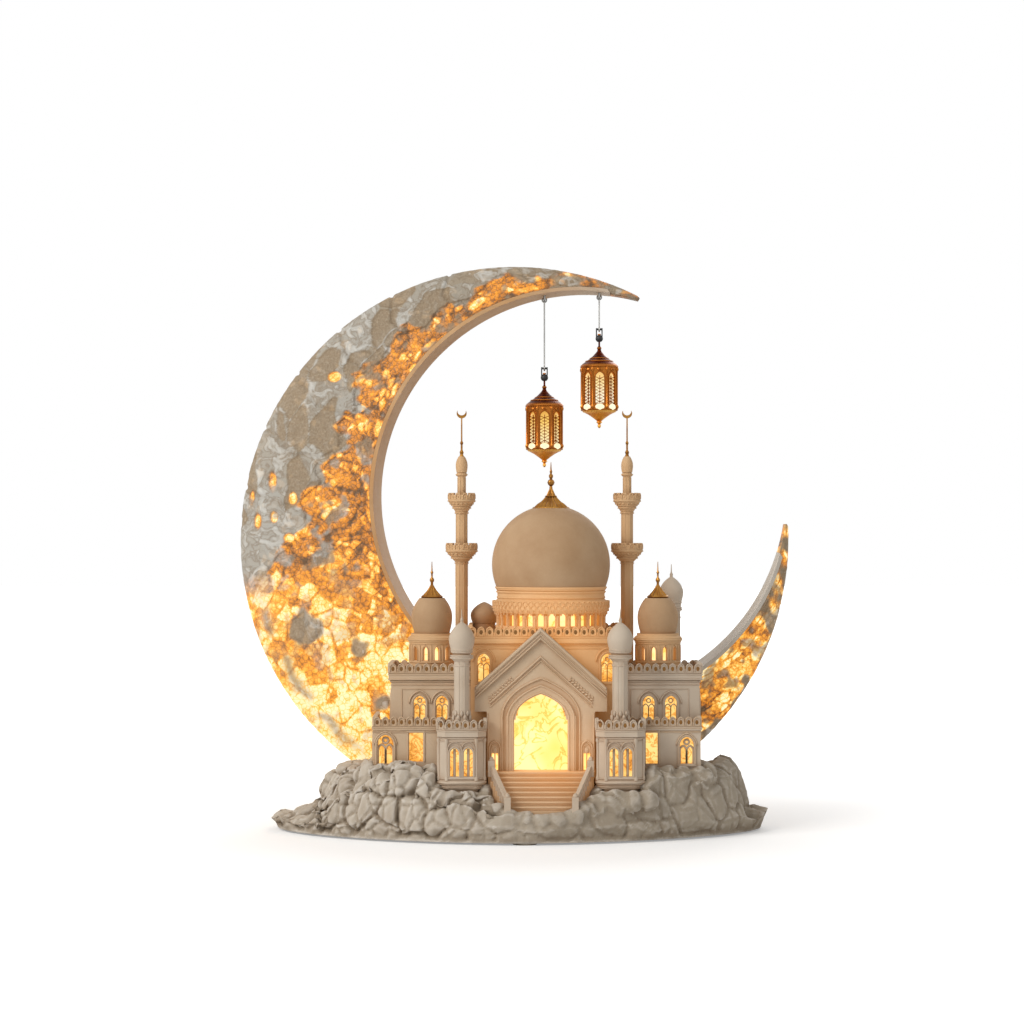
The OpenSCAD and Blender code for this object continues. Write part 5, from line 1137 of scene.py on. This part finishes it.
def window_trim(carving, place, foot, w, h, hood=0.0, twin=True, bar_w=0.5):
    """Frame bead, hood and slim tracery of an arched window, from its sill's height."""
    frame_w = w + 1.3
    carving.moulding(place, arch_path(0, foot, frame_w, h + 0.7, 0.6 * frame_w), bead(0.6, 0.4, FRAME_OUT))
    if hood:
        hood_w, low = w + 2 * hood, 0.72 * h
        path = arch_path(0, foot + low, hood_w, h - low + 1.1 * hood, 0.62 * hood_w)
        carving.moulding(place, path, bead(0.9, 0.7))
    bar = bead(bar_w, 0.45, TRACERY_IN)
    if twin:
        half, top, eye = w / 2 - 0.1, 0.66 * h, 0.17 * w
        for side in (-1, 1):
            carving.moulding(place, arch_path(side * half / 2, foot, half, top, 0.7 * half), bar)
        turns = [2 * math.pi * i / 12 for i in range(12)]
        ring = [(eye * math.cos(t), foot + 0.8 * h + eye * math.sin(t)) for t in turns]
        carving.moulding(place, ring, bar, True)
    else:
        carving.moulding(place, [(0, foot), (0, foot + h - 0.4)], bar)


def parapet_lace(carving, place, length, foot):
    """Row of small carved loops along a battlement that is centred on the wall's place."""
    count = max(1, round(length / TOOTH_PITCH))
    step = length / count
    carving.moulding(place, [(-length / 2, foot + 0.35), (length / 2, foot + 0.35)], bead(0.6, 0.45))
    for i in range(count):
        along = -length / 2 + (i + 0.5) * step
        loop = arch_path(along, foot + 0.7, 0.74 * step, 4.1, 0.46 * step)
        carving.moulding(place, loop, bead(0.6, 0.5))
        # dark gilt bosses in the loops and between them: gilding and painted shade
        GILDING_AND_SHADE.boss(place, along, foot + 2.3, 0.42 * step, 2.5, 0.2)
        if i:
            GILDING_AND_SHADE.boss(place, along - step / 2, foot + 3.0, 0.2 * step, 1.8, 0.25)


def wall_lace(carving, x0, y0, x1, y1, foot, sides="fblr"):
    """Parapet lace on chosen outer walls of a block: front, back, left and right."""
    mid_x, mid_y = (x0 + x1) / 2, (y0 + y1) / 2
    walls = {"f": (mid_x, y0, 0, x1 - x0), "b": (mid_x, y1, 180, x1 - x0),
             "l": (x0, mid_y, -90, y1 - y0), "r": (x1, mid_y, 90, y1 - y0)}
    for side in sides:
        x, y, angle, length = walls[side]
        parapet_lace(carving, wall(x, y, angle), length, foot)


def cornice_lines(carving, x0, y0, x1, y1, top):
    """String courses under and on the cornice of a block."""
    outline = rectangle(x0, y0, x1, y1)
    carving.band(outline, line_profile(top - CORNICE_H - 0.6, 1.0, 0.7))
    carving.band(outline, line_profile(top - CORNICE_H - 2.4, 0.6, 0.4))
    grown = rectangle(x0 - CORNICE_OUT, y0 - CORNICE_OUT, x1 + CORNICE_OUT, y1 + CORNICE_OUT)
    carving.band(grown, line_profile(top - 0.5, 0.8, 0.35))
    carving.band(grown, line_profile(top - CORNICE_H + 0.6, 0.8, 0.35))


def panel_lines(carving, place, half, low, high):
    """Thin raised frame on a wall."""
    path = [(-half, low), (half, low), (half, high), (-half, high)]
    carving.moulding(place, path, bead(0.5, 0.35), True)


def carve_hall():
    carving = Carving()
    x0, y0 = hall_low[0] + CORNICE_OUT, hall_low[1] + CORNICE_OUT
    x1, y1 = hall_high[0] - CORNICE_OUT, hall_high[1] - CORNICE_OUT
    cornice_lines(carving, x0, y0, x1, y1, HALL_TOP)
    wall_lace(carving, hall_low[0], hall_low[1], hall_high[0], hall_high[1], HALL_TOP)
    for side in (-1, 1):
        window_trim(carving, wall(MOSQUE_X + side * 31, y0), FLOOR_Z + 44, w=6, h=14, hood=2.6)
    for column in (-1, 0, 1):
        place = wall(MOSQUE_X + column * 22, y1, 180)
        window_trim(carving, place, FLOOR_Z + 18, w=10, h=34, hood=3.4)
        panel_lines(carving, place, 9.6, FLOOR_Z + 12, HALL_TOP - 8)
    carving.piece("hall_carving", WARM_PLASTER, "plaster")


def carve_tower(name, side, x, finish):
    carving = Carving()
    x0, x1 = x - TOWER_HALF, x + TOWER_HALF
    cornice_lines(carving, x0, TOWER_FRONT, x1, TOWER_BACK, TOWER_TOP)
    out = CORNICE_OUT
    sides = "fbl" if side < 0 else "fbr"
    wall_lace(carving, x0 - out, TOWER_FRONT - out, x1 + out, TOWER_BACK + out, TOWER_TOP, sides)
    # Walls with two windows each, and how far those stand from the wall's middle
    faces = [
        (wall(x, TOWER_FRONT), 5.6), (wall(x, TOWER_BACK, 180), 5.6),
        (wall(x + side * TOWER_HALF, TOWER_Y, side * 90), 7.0)]
    for face, offset in faces:
        for shift in (-offset, offset):
            window_trim(carving, beside(face, shift), FLOOR_Z + 24, w=6.0, h=12.5, hood=2.3)
        panel_lines(carving, face, 14.6, FLOOR_Z + 4, TOWER_TOP - 8)
    carving.piece(name, finish, "plaster")


def carve_wings():
    carving = Carving()
    left_low, left_high = box_mm("left_wing")
    right_low, right_high = box_mm("right_wing")
    half_out = CORNICE_OUT / 2
    front = left_low[1] + half_out
    left_edge, right_edge = left_low[0] + half_out, right_high[0] - half_out
    top = left_high[2] - PARAPET_H - TOOTH_H
    left_end, right_end = left_high[0], right_low[0]
    left_flank, right_flank = 36.0, 7.8
    rows = [
        (wall((left_edge + left_end) / 2, front), left_end - left_edge),
        (wall(left_edge, front + left_flank / 2, -90), left_flank),
        (wall((right_edge + right_end) / 2, front), right_edge - right_end),
        (wall(right_edge, front + right_flank / 2, 90), right_flank)]
    for place, length in rows:
        parapet_lace(carving, place, length, top)
        for drop, height, out in ((2.6, 0.8, 0.5), (0.6, 0.7, 0.95)):
            path = [(-length / 2, top - drop), (length / 2, top - drop)]
            carving.moulding(place, path, bead(height, out))
    sill = FLOOR_Z + 3
    window_trim(carving, wall(left_edge + 6.2, front), sill, w=8, h=14.5, hood=1.6, bar_w=1.2)
    window_trim(carving, wall(right_edge - 7, front), sill, w=7, h=13.5, hood=1.6, bar_w=1.1)
    for i in (1, 2):
        window_trim(carving, wall(left_edge, front + 12 * i, -90), sill, w=7, h=14.5, hood=1.6, bar_w=1.1)
    # Frames of the two plain doors: middle, lower and upper end and half width
    for x, low, high, half in ((left_edge + 21.5, 4, 18.5, 3.5), (right_end + 15.5, 3, 19.5, 3.0)):
        edge, foot, head = half + 0.7, FLOOR_Z + low, FLOOR_Z + high + 0.7
        carving.moulding(
            wall(x, front), [(-edge, foot), (-edge, head), (edge, head), (edge, foot)], bead(0.8, 0.5))
    carving.piece("wing_carving", PLASTER, "plaster")


def carve_pavilion(side, node):
    carving = Carving()
    low, high = box_mm(node)
    x, y = axis_mm(node)
    bevel, inset = 4.0, 0.8
    foot = low[2] + 8.4
    top = high[2] - PARAPET_H - TOOTH_H

    def outline(shrink):
        x0, x1, y0, y1 = low[0] + shrink, high[0] - shrink, low[1] + shrink, high[1] - shrink
        return [(x0 + bevel, y0), (x1 - bevel, y0), (x1, y0 + bevel), (x1, y1), (x0, y1), (x0, y0 + bevel)]

    # String courses: how far inside the node's box, height of the middle, thickness and reach
    courses = [
        (0.3, foot - 1.1, 1.4, 0.6), (1.0, foot - 3.2, 0.9, 0.5), (inset, foot + 0.9, 0.8, 0.5),
        (inset, top - CORNICE_H - 0.6, 0.9, 0.6), (inset, top - CORNICE_H - 2.2, 0.6, 0.4),
        (0, top - 0.6, 0.8, 0.35)]
    for shrink, up, height, out in courses:
        carving.band(outline(shrink), line_profile(up, height, out))
    body = outline(inset)
    column = [
        (1.0, foot), (1.0, foot + 1.6), (0.65, foot + 2.2), (0.65, top - 6.5), (1.0, top - 5.8),
        (1.0, top - 4.4)]
    for column_x, column_y in (body[0], body[1], body[2], body[5]):
        carving.lathe(column_x, column_y, column, 10)
    window = {"foot": foot + 2, "w": 4.4, "h": 14, "twin": False, "bar_w": 1.3}
    front = wall(x, low[1] + inset)
    for shift in (-3.4, 3.4):
        place = beside(front, shift)
        window_trim(carving, place, **window)
        carving.moulding(place, arch_path(0, foot + 2, 6.5, 17.2, 3.6), bead(0.6, 0.9))
    flank = wall(x + side * ((high[0] - low[0]) / 2 - inset), y + 1, side * 90)
    window_trim(carving, flank, hood=1.4, **window)
    parapet_lace(carving, wall(x, low[1]), high[0] - low[0] - 2 * bevel, top)
    for end, edge_x in ((-1, low[0]), (1, high[0])):
        parapet_lace(carving, wall(edge_x, y + bevel / 2, end * 90), high[1] - low[1] - bevel, top)
        corner = wall(edge_x - end * bevel / 2, low[1] + bevel / 2, end * 45)
        parapet_lace(carving, corner, bevel * math.sqrt(2), top)
    carving.piece(node + "_carving", COOL_PLASTER, "plaster")


def keel_arch(w, foot, h):
    """Path of the door's arch, which bends in from its jambs and runs straight up to a point."""
    rise = 0.5 * w
    half = []
    for i in range(11):
        share = 1 - (i / 10) ** 2 if i < 10 else 0.0
        lift = math.sqrt(max(1 - share, 0)) * (1 + 0.16 * share)
        half.append((-share * w / 2, foot + h - rise + rise * lift))
    return [(-w / 2, foot)] + half + [(-u, z) for u, z in half[-2::-1]] + [(w / 2, foot)]


def gable_path(half, drop):
    """Path along both slopes of the gable, a drop below its peak."""
    foot = PEAK_Z - drop - GABLE_SLOPE * half
    return [(-half, foot), (0, PEAK_Z - drop), (half, foot)]


def carve_portal():
    carving = Carving()
    place = PORTAL_WALL
    # Beads along the gable: half length, drop below the peak, thickness, reach and the face they lie on
    border_half, inner_half = GABLE_HALF - 0.6, 25.5
    gable_beads = [
        (border_half, 1.1, 1.5, 0.8, BORDER_OUT), (border_half, 3.4, 0.7, 0.5, BORDER_OUT),
        (border_half, 5.2, 0.8, 0.6, BORDER_OUT), (inner_half, 14.6, 1.1, 0.9, 0.0),
        (inner_half, 16.6, 0.6, 0.6, 0.0)]
    for half, drop, size, out, base in gable_beads:
        carving.moulding(place, gable_path(half, drop), bead(size, out, base))
    lean = math.degrees(math.atan(GABLE_SLOPE))
    edge_x, foot = 26.4, FLOOR_Z + 0.3
    for side in (-1, 1):
        for i in range(9):
            along = 14.5 + 1.35 * i
            up = PEAK_Z - 13.0 - GABLE_SLOPE * along
            carving.boss(place, side * along, up, 1.9, 1.1, 0.7, -side * (lean - 55))
            carving.boss(place, side * (along + 0.5), up + 1.3, 1.2, 0.8, 0.55, -side * (lean + 30))
        edge = [(side * edge_x, FLOOR_Z + 0.5), (side * edge_x, FLOOR_Z + 28.6)]
        carving.moulding(place, edge, bead(0.8, 0.5))
        carving.moulding(place, arch_path(side * NICHE_X, foot, 5.4, 14.6, 3.4), bead(0.9, 0.8))
        carving.moulding(place, arch_path(side * NICHE_X, foot, 3.6, 13.0, 2.4), bead(0.5, 0.6))
        carving.boss(place, side * NICHE_X, FLOOR_Z + 10.2, 2.4, 3.0, 0.5)
    face = BORDER_OUT - 0.08
    spandrel = [(-0.2, 0.2), (-0.2, face), (3.8, face), (3.8, 0.2)]
    carving.moulding(place, keel_arch(DOOR_W, FLOOR_Z, DOOR_H), spandrel)
    # Beads round the door: growth of its arch, thickness, reach and the face they lie on
    door_beads = [(0.5, 0.9, 0.5, BORDER_OUT), (3.0, 0.9, 0.5, BORDER_OUT), (5.8, 1.1, 0.9, 0.0)]
    for grow, size, out, base in door_beads:
        path = keel_arch(DOOR_W + 2 * grow, FLOOR_Z, DOOR_H + 1.3 * grow)
        carving.moulding(place, path, bead(size, out, base))
    carving.piece("portal_carving", PLASTER, "plaster")


def light_niches():
    """Two lit slots in each niche beside the door."""
    slots = Carving()
    section = [(0.02, 0.4), (0.3, 0.4), (0.3, 8.6), (0.02, 8.6)]
    for side in (-1, 1):
        for shift in (-0.95, 0.95):
            place = beside(PORTAL_WALL, side * NICHE_X + shift)
            slots.skin([[place(end, out, FLOOR_Z + up) for out, up in section] for end in (-0.62, 0.62)])
    slots.piece("niche_lights", PORTAL_GLOW, "amber_sheet")


def string_courses(carving, x, y, rows, steps=64):
    """Round string courses about an upright axis: radius, height and thickness of each."""
    for radius, up, thick in rows:
        rings = []
        for i in range(steps):
            turn = 2 * math.pi * i / steps
            ring = []
            for k in range(RING_SIDES):
                angle = 2 * math.pi * k / RING_SIDES
                r = radius + thick * math.cos(angle)
                ring.append((x + r * math.sin(turn), y - r * math.cos(turn), up + thick * math.sin(angle)))
            rings.append(ring)
        carving.skin(rings, True)


def carve_drum():
    carving = Carving()
    arches, lattice = 30, 60
    place = round_wall(DOME_X, DOME_Y, DRUM_R)
    foot, flare = HALL_TOP + 5, HALL_TOP + 11.5
    column = [
        (0.95, foot - 1.4), (0.95, foot - 0.4), (0.6, foot + 0.2), (0.6, foot + 4.2), (0.95, foot + 4.8),
        (0.95, foot + 5.4)]
    for column_along, arch_along in zip(spaced(DRUM_R, arches, 0.5), spaced(DRUM_R, arches)):
        x, y, _ = place(column_along, 0.1, 0)
        carving.lathe(x, y, column, 8)
        carving.moulding(place, arch_path(arch_along, foot + 3.6, 4.2, 3.6, 2.6), bead(0.6, 0.6))
    # Rows of the lattice: radius, height and shift
    rows = [
        (DRUM_R + 1.2, flare - 0.2, 0.0), (FLARE_R - 0.4, flare + 1.5, 0.5), (FLARE_R, flare + 3.2, 0.0),
        (FLARE_R, flare + 4.9, 0.5)]
    for radius, up, shift in rows:
        band = round_wall(DOME_X, DOME_Y, radius)
        for along in spaced(radius, lattice, shift):
            carving.moulding(band, arch_path(along, up - 0.9, 2.3, 1.9, 1.3), bead(0.5, 0.45))
    courses = [
        (DRUM_R, HALL_TOP + 1.4, 0.7), (DRUM_R, HALL_TOP + 3.2, 0.45), (DRUM_R + 0.2, HALL_TOP + 19.2, 0.5),
        (DRUM_R + 0.3, HALL_TOP + 22.0, 0.6), (28.3, HALL_TOP + 24.2, 0.55)]
    string_courses(carving, DOME_X, DOME_Y, courses, 96)
    carving.piece("drum_carving", WARM_PLASTER, "plaster")


def carve_side_drums():
    carving = Carving()
    lights = Carving()
    radius, slots = 11.3, 12
    foot = TOWER_TOP + PARAPET_H + TOOTH_H + 1
    courses = [
        (radius, foot - 1.0, 0.5), (radius, foot + 8.4, 0.45), (radius + 0.8, TOWER_TOP + 16.6, 0.5)]
    for x in TOWER_XS:
        place = round_wall(x, TOWER_Y, radius)
        for along in spaced(radius, slots, 0.5):
            carving.moulding(place, arch_path(along, foot, 3.0, 7.5, 2.6), bead(0.6, 0.5))
            rib = along + 2.95
            carving.moulding(place, [(rib, foot - 0.6), (rib, foot + 7.6)], bead(0.8, 0.45))
        string_courses(carving, x, TOWER_Y, courses)
        lights.lathe(x, TOWER_Y, [(9.1, foot - 0.6), (9.1, foot + 7.6)], 36)
    carving.piece("side_drum_carving", WARM_PLASTER, "plaster")
    lights.piece("side_drum_lights", PORTAL_GLOW, "amber_sheet")


def ribs(carving, x, y, radius, low, high, size, count=8):
    """Upright ribs round a slim shaft."""
    place = round_wall(x, y, radius)
    for along in spaced(radius, count, 0.5):
        carving.moulding(place, [(along, low), (along, high)], bead(size, 0.28))


def leaves(carving, x, y, radius, up, count, w, h, out, shift=0.0):
    """Ring of upright leaves round a shaft."""
    place = round_wall(x, y, radius)
    for along in spaced(radius, count, shift):
        carving.boss(place, along, up, w, h, out)


def carve_slim_towers():
    carving = Carving()
    # Radius and height of each shaft and radius of its bulb
    towers = {
        "left_turret": (3.8, 34.5, 6.4), "right_turret": (3.8, 34.5, 6.4), "rear_turret": (4.6, 78.0, 6.2)}
    for node, (radius, height, bulb) in towers.items():
        x, y = axis_mm(node)
        foot = box_mm(node)[0][2]
        top = foot + height
        collar = 0.86 * bulb
        ribs(carving, x, y, radius, foot + 5.6, top - 1.4, 0.9)
        leaves(carving, x, y, radius + 1.8, foot + 1.6, 12, w=2.2, h=2.8, out=0.5)
        leaves(carving, x, y, radius + 0.5, foot + 5.2, 8, w=2.0, h=4.2, out=0.8, shift=0.5)
        leaves(carving, x, y, radius + 0.2, foot + 7.6, 8, w=1.4, h=3.2, out=0.6)
        courses = [
            (radius, top - 3.2, 0.4), (collar, top + 0.7, 0.45), (collar, top + 1.7, 0.35),
            (collar - 0.2, top + 4.6, 0.45)]
        string_courses(carving, x, y, courses, 40)
        leaves(carving, x, y, collar - 0.4, top + 3.8, 16, w=1.5, h=1.2, out=0.35)
    carving.piece("turret_carving", COOL_PLASTER, "plaster")


def carve_gallery(carving, x, y, shaft, foot, reach):
    """Courses, leaves and parapet arches of a minaret's gallery."""
    courses = [
        (shaft + 0.1, foot - 0.4, 0.45), (0.62 * reach + 0.2, foot + 2.2, 0.45),
        (0.74 * reach, foot + 3.5, 0.4), (reach - 0.1, foot + 5.8, 0.4)]
    string_courses(carving, x, y, courses, 40)
    leaves(carving, x, y, 0.84 * reach, foot + 4.6, 16, w=1.6, h=1.5, out=0.4)
    sides = 12
    for place in prism_walls(x, y, reach * math.cos(math.pi / sides), sides, 180 / sides):
        carving.moulding(place, arch_path(0, foot + 6.9, 2.3, 2.7, 1.4), bead(0.5, 0.4))
        carving.boss(place, 0, foot + 8.0, 0.8, 1.4, 0.3)


def carve_minarets():
    carving = Carving()
    shaft = 3.2
    lower, upper, top = FLOOR_Z + 103.4, FLOOR_Z + 129.4, FLOOR_Z + 158.4
    for node in ("left_minaret", "right_minaret"):
        x, y = axis_mm(node)
        ribs(carving, x, y, shaft, FLOOR_Z + 12.5, lower + 0.6, 0.8)
        ribs(carving, x, y, shaft - 0.2, lower + 9, upper + 0.6, 0.8)
        ribs(carving, x, y, shaft - 1.1, upper + 8, top - 11, 0.6)
        carve_gallery(carving, x, y, shaft, lower, 8.2)
        carve_gallery(carving, x, y, shaft, upper, 7.05)
        string_courses(carving, x, y, [(shaft - 0.4, top - 9.5, 0.4)], 32)
    carving.piece("minaret_carving", WARM_PLASTER, "plaster")


def fluted_dome_cap():
    """Gold cap of the main dome, fluted down to a beaded rim."""
    cap = Carving()
    reach, rise = 9.3, 9.4
    foot = box_mm("main_dome_cap")[1][2] - rise
    rim = [
        (reach - 0.6, foot - 1.2), (reach, foot - 1.2), (reach + 0.35, foot - 0.5), (reach - 0.2, foot + 0.4)]
    cap.lathe(DOME_X, DOME_Y, rim, 80)
    # Share of the reach and height along the curve from the rim to the spire
    curve = [(0.86, 1.0), (0.73, 2.1), (0.58, 3.0), (0.46, 4.0), (0.34, 5.3), (0.24, 6.6)]
    outline = [(share * reach, foot + up) for share, up in curve]
    outline = [(reach - 0.3, foot)] + outline + [(1.0, foot + rise)]
    cap.lathe(DOME_X, DOME_Y, outline, 160, flutes=20, depth=0.13)
    string_courses(cap, DOME_X, DOME_Y, [(0.3 * reach, foot + 5.9, 0.35)], 32)
    leaves(cap, DOME_X, DOME_Y, reach - 0.1, foot - 0.3, 40, w=1.0, h=1.0, out=0.35)
    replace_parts(cap.piece("fluted_dome_cap", BRASS, "gold"), "main_dome_cap")


def fluted_side_caps():
    """Gold caps of the side domes with rim, flutes and spire."""
    caps = Carving()
    low, high = box_mm("side_dome_caps")
    r, h, foot = 4.9, high[2] - low[2], low[2]
    rim = [(r - 0.4, foot), (r + 0.5, foot), (r + 0.68, foot + 0.7), (r, foot + 1.4)]
    # Share of the radius and of the height along the curve
    curve = [(0.84, 0.11), (0.66, 0.16), (0.48, 0.22), (0.34, 0.28)]
    fluted = [(share * r, foot + up * h) for share, up in curve]
    fluted = [(r, foot + 1.0)] + fluted + [(0.7, foot + 0.36 * h)]
    # Radius and share of the height up the spire
    knops = [
        (0.7, 0.35), (0.6, 0.42), (1.1, 0.47), (1.1, 0.52), (0.45, 0.57), (0.45, 0.66), (0.75, 0.7),
        (0.35, 0.75), (0.15, 1)]
    spire = [(radius, foot + up * h) for radius, up in knops]
    for x in TOWER_XS:
        caps.lathe(x, TOWER_Y, rim, 60)
        caps.lathe(x, TOWER_Y, fluted, 96, flutes=12, depth=0.14)
        caps.lathe(x, TOWER_Y, spire, 16)
    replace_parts(caps.piece("fluted_side_caps", BRASS, "gold"), "side_dome_caps")


def carve_stairs():
    """Rounded nosings along the steps."""
    carving = Carving()
    x = axis_mm("front_stairs")[0]
    front = box_mm("front_stairs")[0][1]
    steps, run, lift = 8, 2.0, 2.2
    lower_w, upper_w = 30, 46
    for i in range(steps):
        half = (lower_w + (upper_w - lower_w) * i / (steps - 1)) / 2 - 0.3
        up = FLOOR_Z - (steps - 1 - i) * lift - 0.45
        carving.moulding(wall(x, front + i * run), [(-half, up), (half, up)], bead(0.7, 0.35))
    carving.piece("stair_nosings", GLOW_LIT_STEP_PLASTER, "plaster")


def carve_mosque():
    carve_hall()
    carve_tower("left_tower_carving", -1, TOWER_XS[0], PLASTER)
    carve_tower("right_tower_carving", 1, TOWER_XS[1], COOL_PLASTER)
    carve_wings()
    carve_pavilion(-1, "left_pavilion")
    carve_pavilion(1, "right_pavilion")
    carve_portal()
    light_niches()
    carve_drum()
    carve_side_drums()
    carve_slim_towers()
    carve_minarets()
    fluted_dome_cap()
    fluted_side_caps()
    carve_stairs()
    GILDING_AND_SHADE.piece("parapet_gilding_and_shade", GILT_AND_SHADE, "gold")


carve_mosque()


# Lanterns

LANTERN_SIDES = 8
LANTERN_CORNER_R = 10.2
LANTERN_POST_R = 0.985 * LANTERN_CORNER_R
LANTERN_FLAT_R = LANTERN_CORNER_R * math.cos(math.pi / LANTERN_SIDES)


def lantern_glass(x, y, foot, top, walls):
    """Lit glass behind the cage, with a swelling at the foot of each side."""
    glass = Carving()
    skin = [(6.6, foot + 1.3), (8.0, foot + 2.6), (8.0, top - 2.4), (6.0, top - 0.6)]
    glass.lathe(x, y, skin, LANTERN_SIDES)
    for place in walls:
        glass.boss(place, 0, foot + 1.2, 5.0, 3.4, 0.9, sides=12)
    return glass


def lantern_lattice(x, y, foot, top, walls):
    """Net, arches, corner posts, scallops and rings of the cage."""
    metal = Carving()
    net = bead(0.42, 0.4, -0.9)
    post = [
        (0.5, foot + 0.2), (0.95, foot + 0.9), (0.95, foot + 1.8), (0.55, foot + 2.6), (0.55, top - 2.6),
        (0.95, top - 1.8), (0.95, top - 0.9), (0.4, top - 0.2)]
    for i, place in enumerate(walls):
        for start in (-1, 1):
            path = [(2.3 * start * (-1) ** k, foot + 3.2 + 1.75 * k) for k in range(9)]
            metal.moulding(place, path, net)
        metal.moulding(place, [(0, foot + 3), (0, foot + 18)], net)
        metal.moulding(place, arch_path(0, foot + 2.8, 5.2, 17.4, 3.3), bead(0.7, 0.5))
        edge = 2 * math.pi * (i + 0.5) / LANTERN_SIDES
        metal.lathe(x + LANTERN_POST_R * math.sin(edge), y - LANTERN_POST_R * math.cos(edge), post, 8)
        metal.boss(place, 0, top - 1.6, 3.4, 2.0, 0.6, sides=10)
    courses = [(9.4, foot + 0.1, 0.7), (9.6, top + 0.2, 0.7), (7.2, top + 3.1, 0.4), (4.9, top + 4.7, 0.35)]
    string_courses(metal, x, y, courses, 48)
    return metal


def trim_lantern(side):
    cage = side + "_lantern_cage"
    body = side + "_lantern"
    x, y = axis_mm(cage)
    low, high = box_mm(cage)
    foot, top = low[2], high[2]
    walls = prism_walls(x, y, LANTERN_FLAT_R, LANTERN_SIDES)
    lantern_glass(x, y, foot, top, walls).piece(body + "_glass", LAMPS[side], "lamp", body)
    lantern_lattice(x, y, foot, top, walls).piece(body + "_lattice", COPPER, "lantern_copper", body)
    cone = Carving()
    string_courses(cone, x, y, [(8.4, foot - 0.9, 0.5)], 40)
    cone.piece(body + "_cone_trim", GLOW_LIT_BRASS, "gold", body)


trim_lantern("left")
trim_lantern("right")


# Stage and lights

def add_floor():
    """Pale floor that keeps the object's shadow, runs out to white and is clear from below."""
    mesh = bpy.data.meshes.new("floor")
    half = 6.0
    corners = [(x, y, 0) for x, y in rectangle(-half, -half, half, half)]
    mesh.from_pydata(corners, [], [(0, 1, 2, 3)])
    material = bpy.data.materials.new("pale_floor")
    material.use_nodes = True
    tree = material.node_tree
    tree.nodes.clear()
    seen = put(tree, "ShaderNodeLightPath").outputs["Is Camera Ray"]
    far = put(tree, "ShaderNodeVectorMath", {0: object_spot(tree)}, operation="LENGTH").outputs["Value"]
    lift = calc(tree, "MULTIPLY", seen, spread(tree, far, 0.12, 0.5, 0.3, 1.0))
    matt = put(tree, "ShaderNodeBsdfDiffuse", {"Color": (0.86, 0.86, 0.86, 1)})
    glow = put(tree, "ShaderNodeEmission", {"Color": (1, 1, 1, 1), "Strength": lift})
    both = put(tree, "ShaderNodeAddShader", {0: matt.outputs[0], 1: glow.outputs[0]})
    behind = put(tree, "ShaderNodeNewGeometry").outputs["Backfacing"]
    clear = put(tree, "ShaderNodeBsdfTransparent")
    shown = put(tree, "ShaderNodeMixShader", {0: behind, 1: both.outputs[0], 2: clear.outputs[0]})
    put(tree, "ShaderNodeOutputMaterial", {"Surface": shown.outputs[0]})
    mesh.materials.append(material)
    floor = bpy.data.objects.new("floor", mesh)
    bpy.context.scene.collection.objects.link(floor)


def add_world():
    world = bpy.data.worlds.new("studio")
    bpy.context.scene.world = world
    world.use_nodes = True
    tree = world.node_tree
    tree.nodes.clear()
    path = put(tree, "ShaderNodeLightPath")
    seen = calc(tree, "MAXIMUM", path.outputs["Is Camera Ray"], path.outputs["Is Glossy Ray"])
    seen = calc(tree, "MAXIMUM", seen, path.outputs["Is Transmission Ray"])
    soft = put(tree, "ShaderNodeBackground", {"Color": (1.0, 0.985, 0.96, 1), "Strength": 0.42})
    white = put(tree, "ShaderNodeBackground", {"Color": (1, 1, 1, 1), "Strength": 1.0})
    both = put(tree, "ShaderNodeMixShader", {0: seen, 1: soft.outputs[0], 2: white.outputs[0]})
    put(tree, "ShaderNodeOutputWorld", {"Surface": both.outputs[0]})


def add_light(name, place, aim, size, power, tone):
    data = bpy.data.lights.new(name, "AREA")
    data.size = size
    data.energy = power
    data.color = tone
    light = bpy.data.objects.new(name, data)
    light.location = place
    light.rotation_euler = (Vector(aim) - Vector(place)).to_track_quat("-Z", "Y").to_euler()
    light.visible_camera = False
    bpy.context.scene.collection.objects.link(light)


add_floor()
add_world()
bpy.context.scene.view_settings.view_transform = "Standard"
add_light("key", (-1.0, -0.8, 0.85), aim=(0, 0, 0.12), size=0.7, power=12.0, tone=(1.0, 0.97, 0.93))
add_light("fill", (0.95, -1.0, 0.5), aim=(0, 0, 0.12), size=0.9, power=1.2, tone=(0.97, 0.98, 1.0))
add_light("back", (0.3, 1.2, 0.9), aim=(0, 0, 0.15), size=0.8, power=5.0, tone=(1.0, 1.0, 1.0))
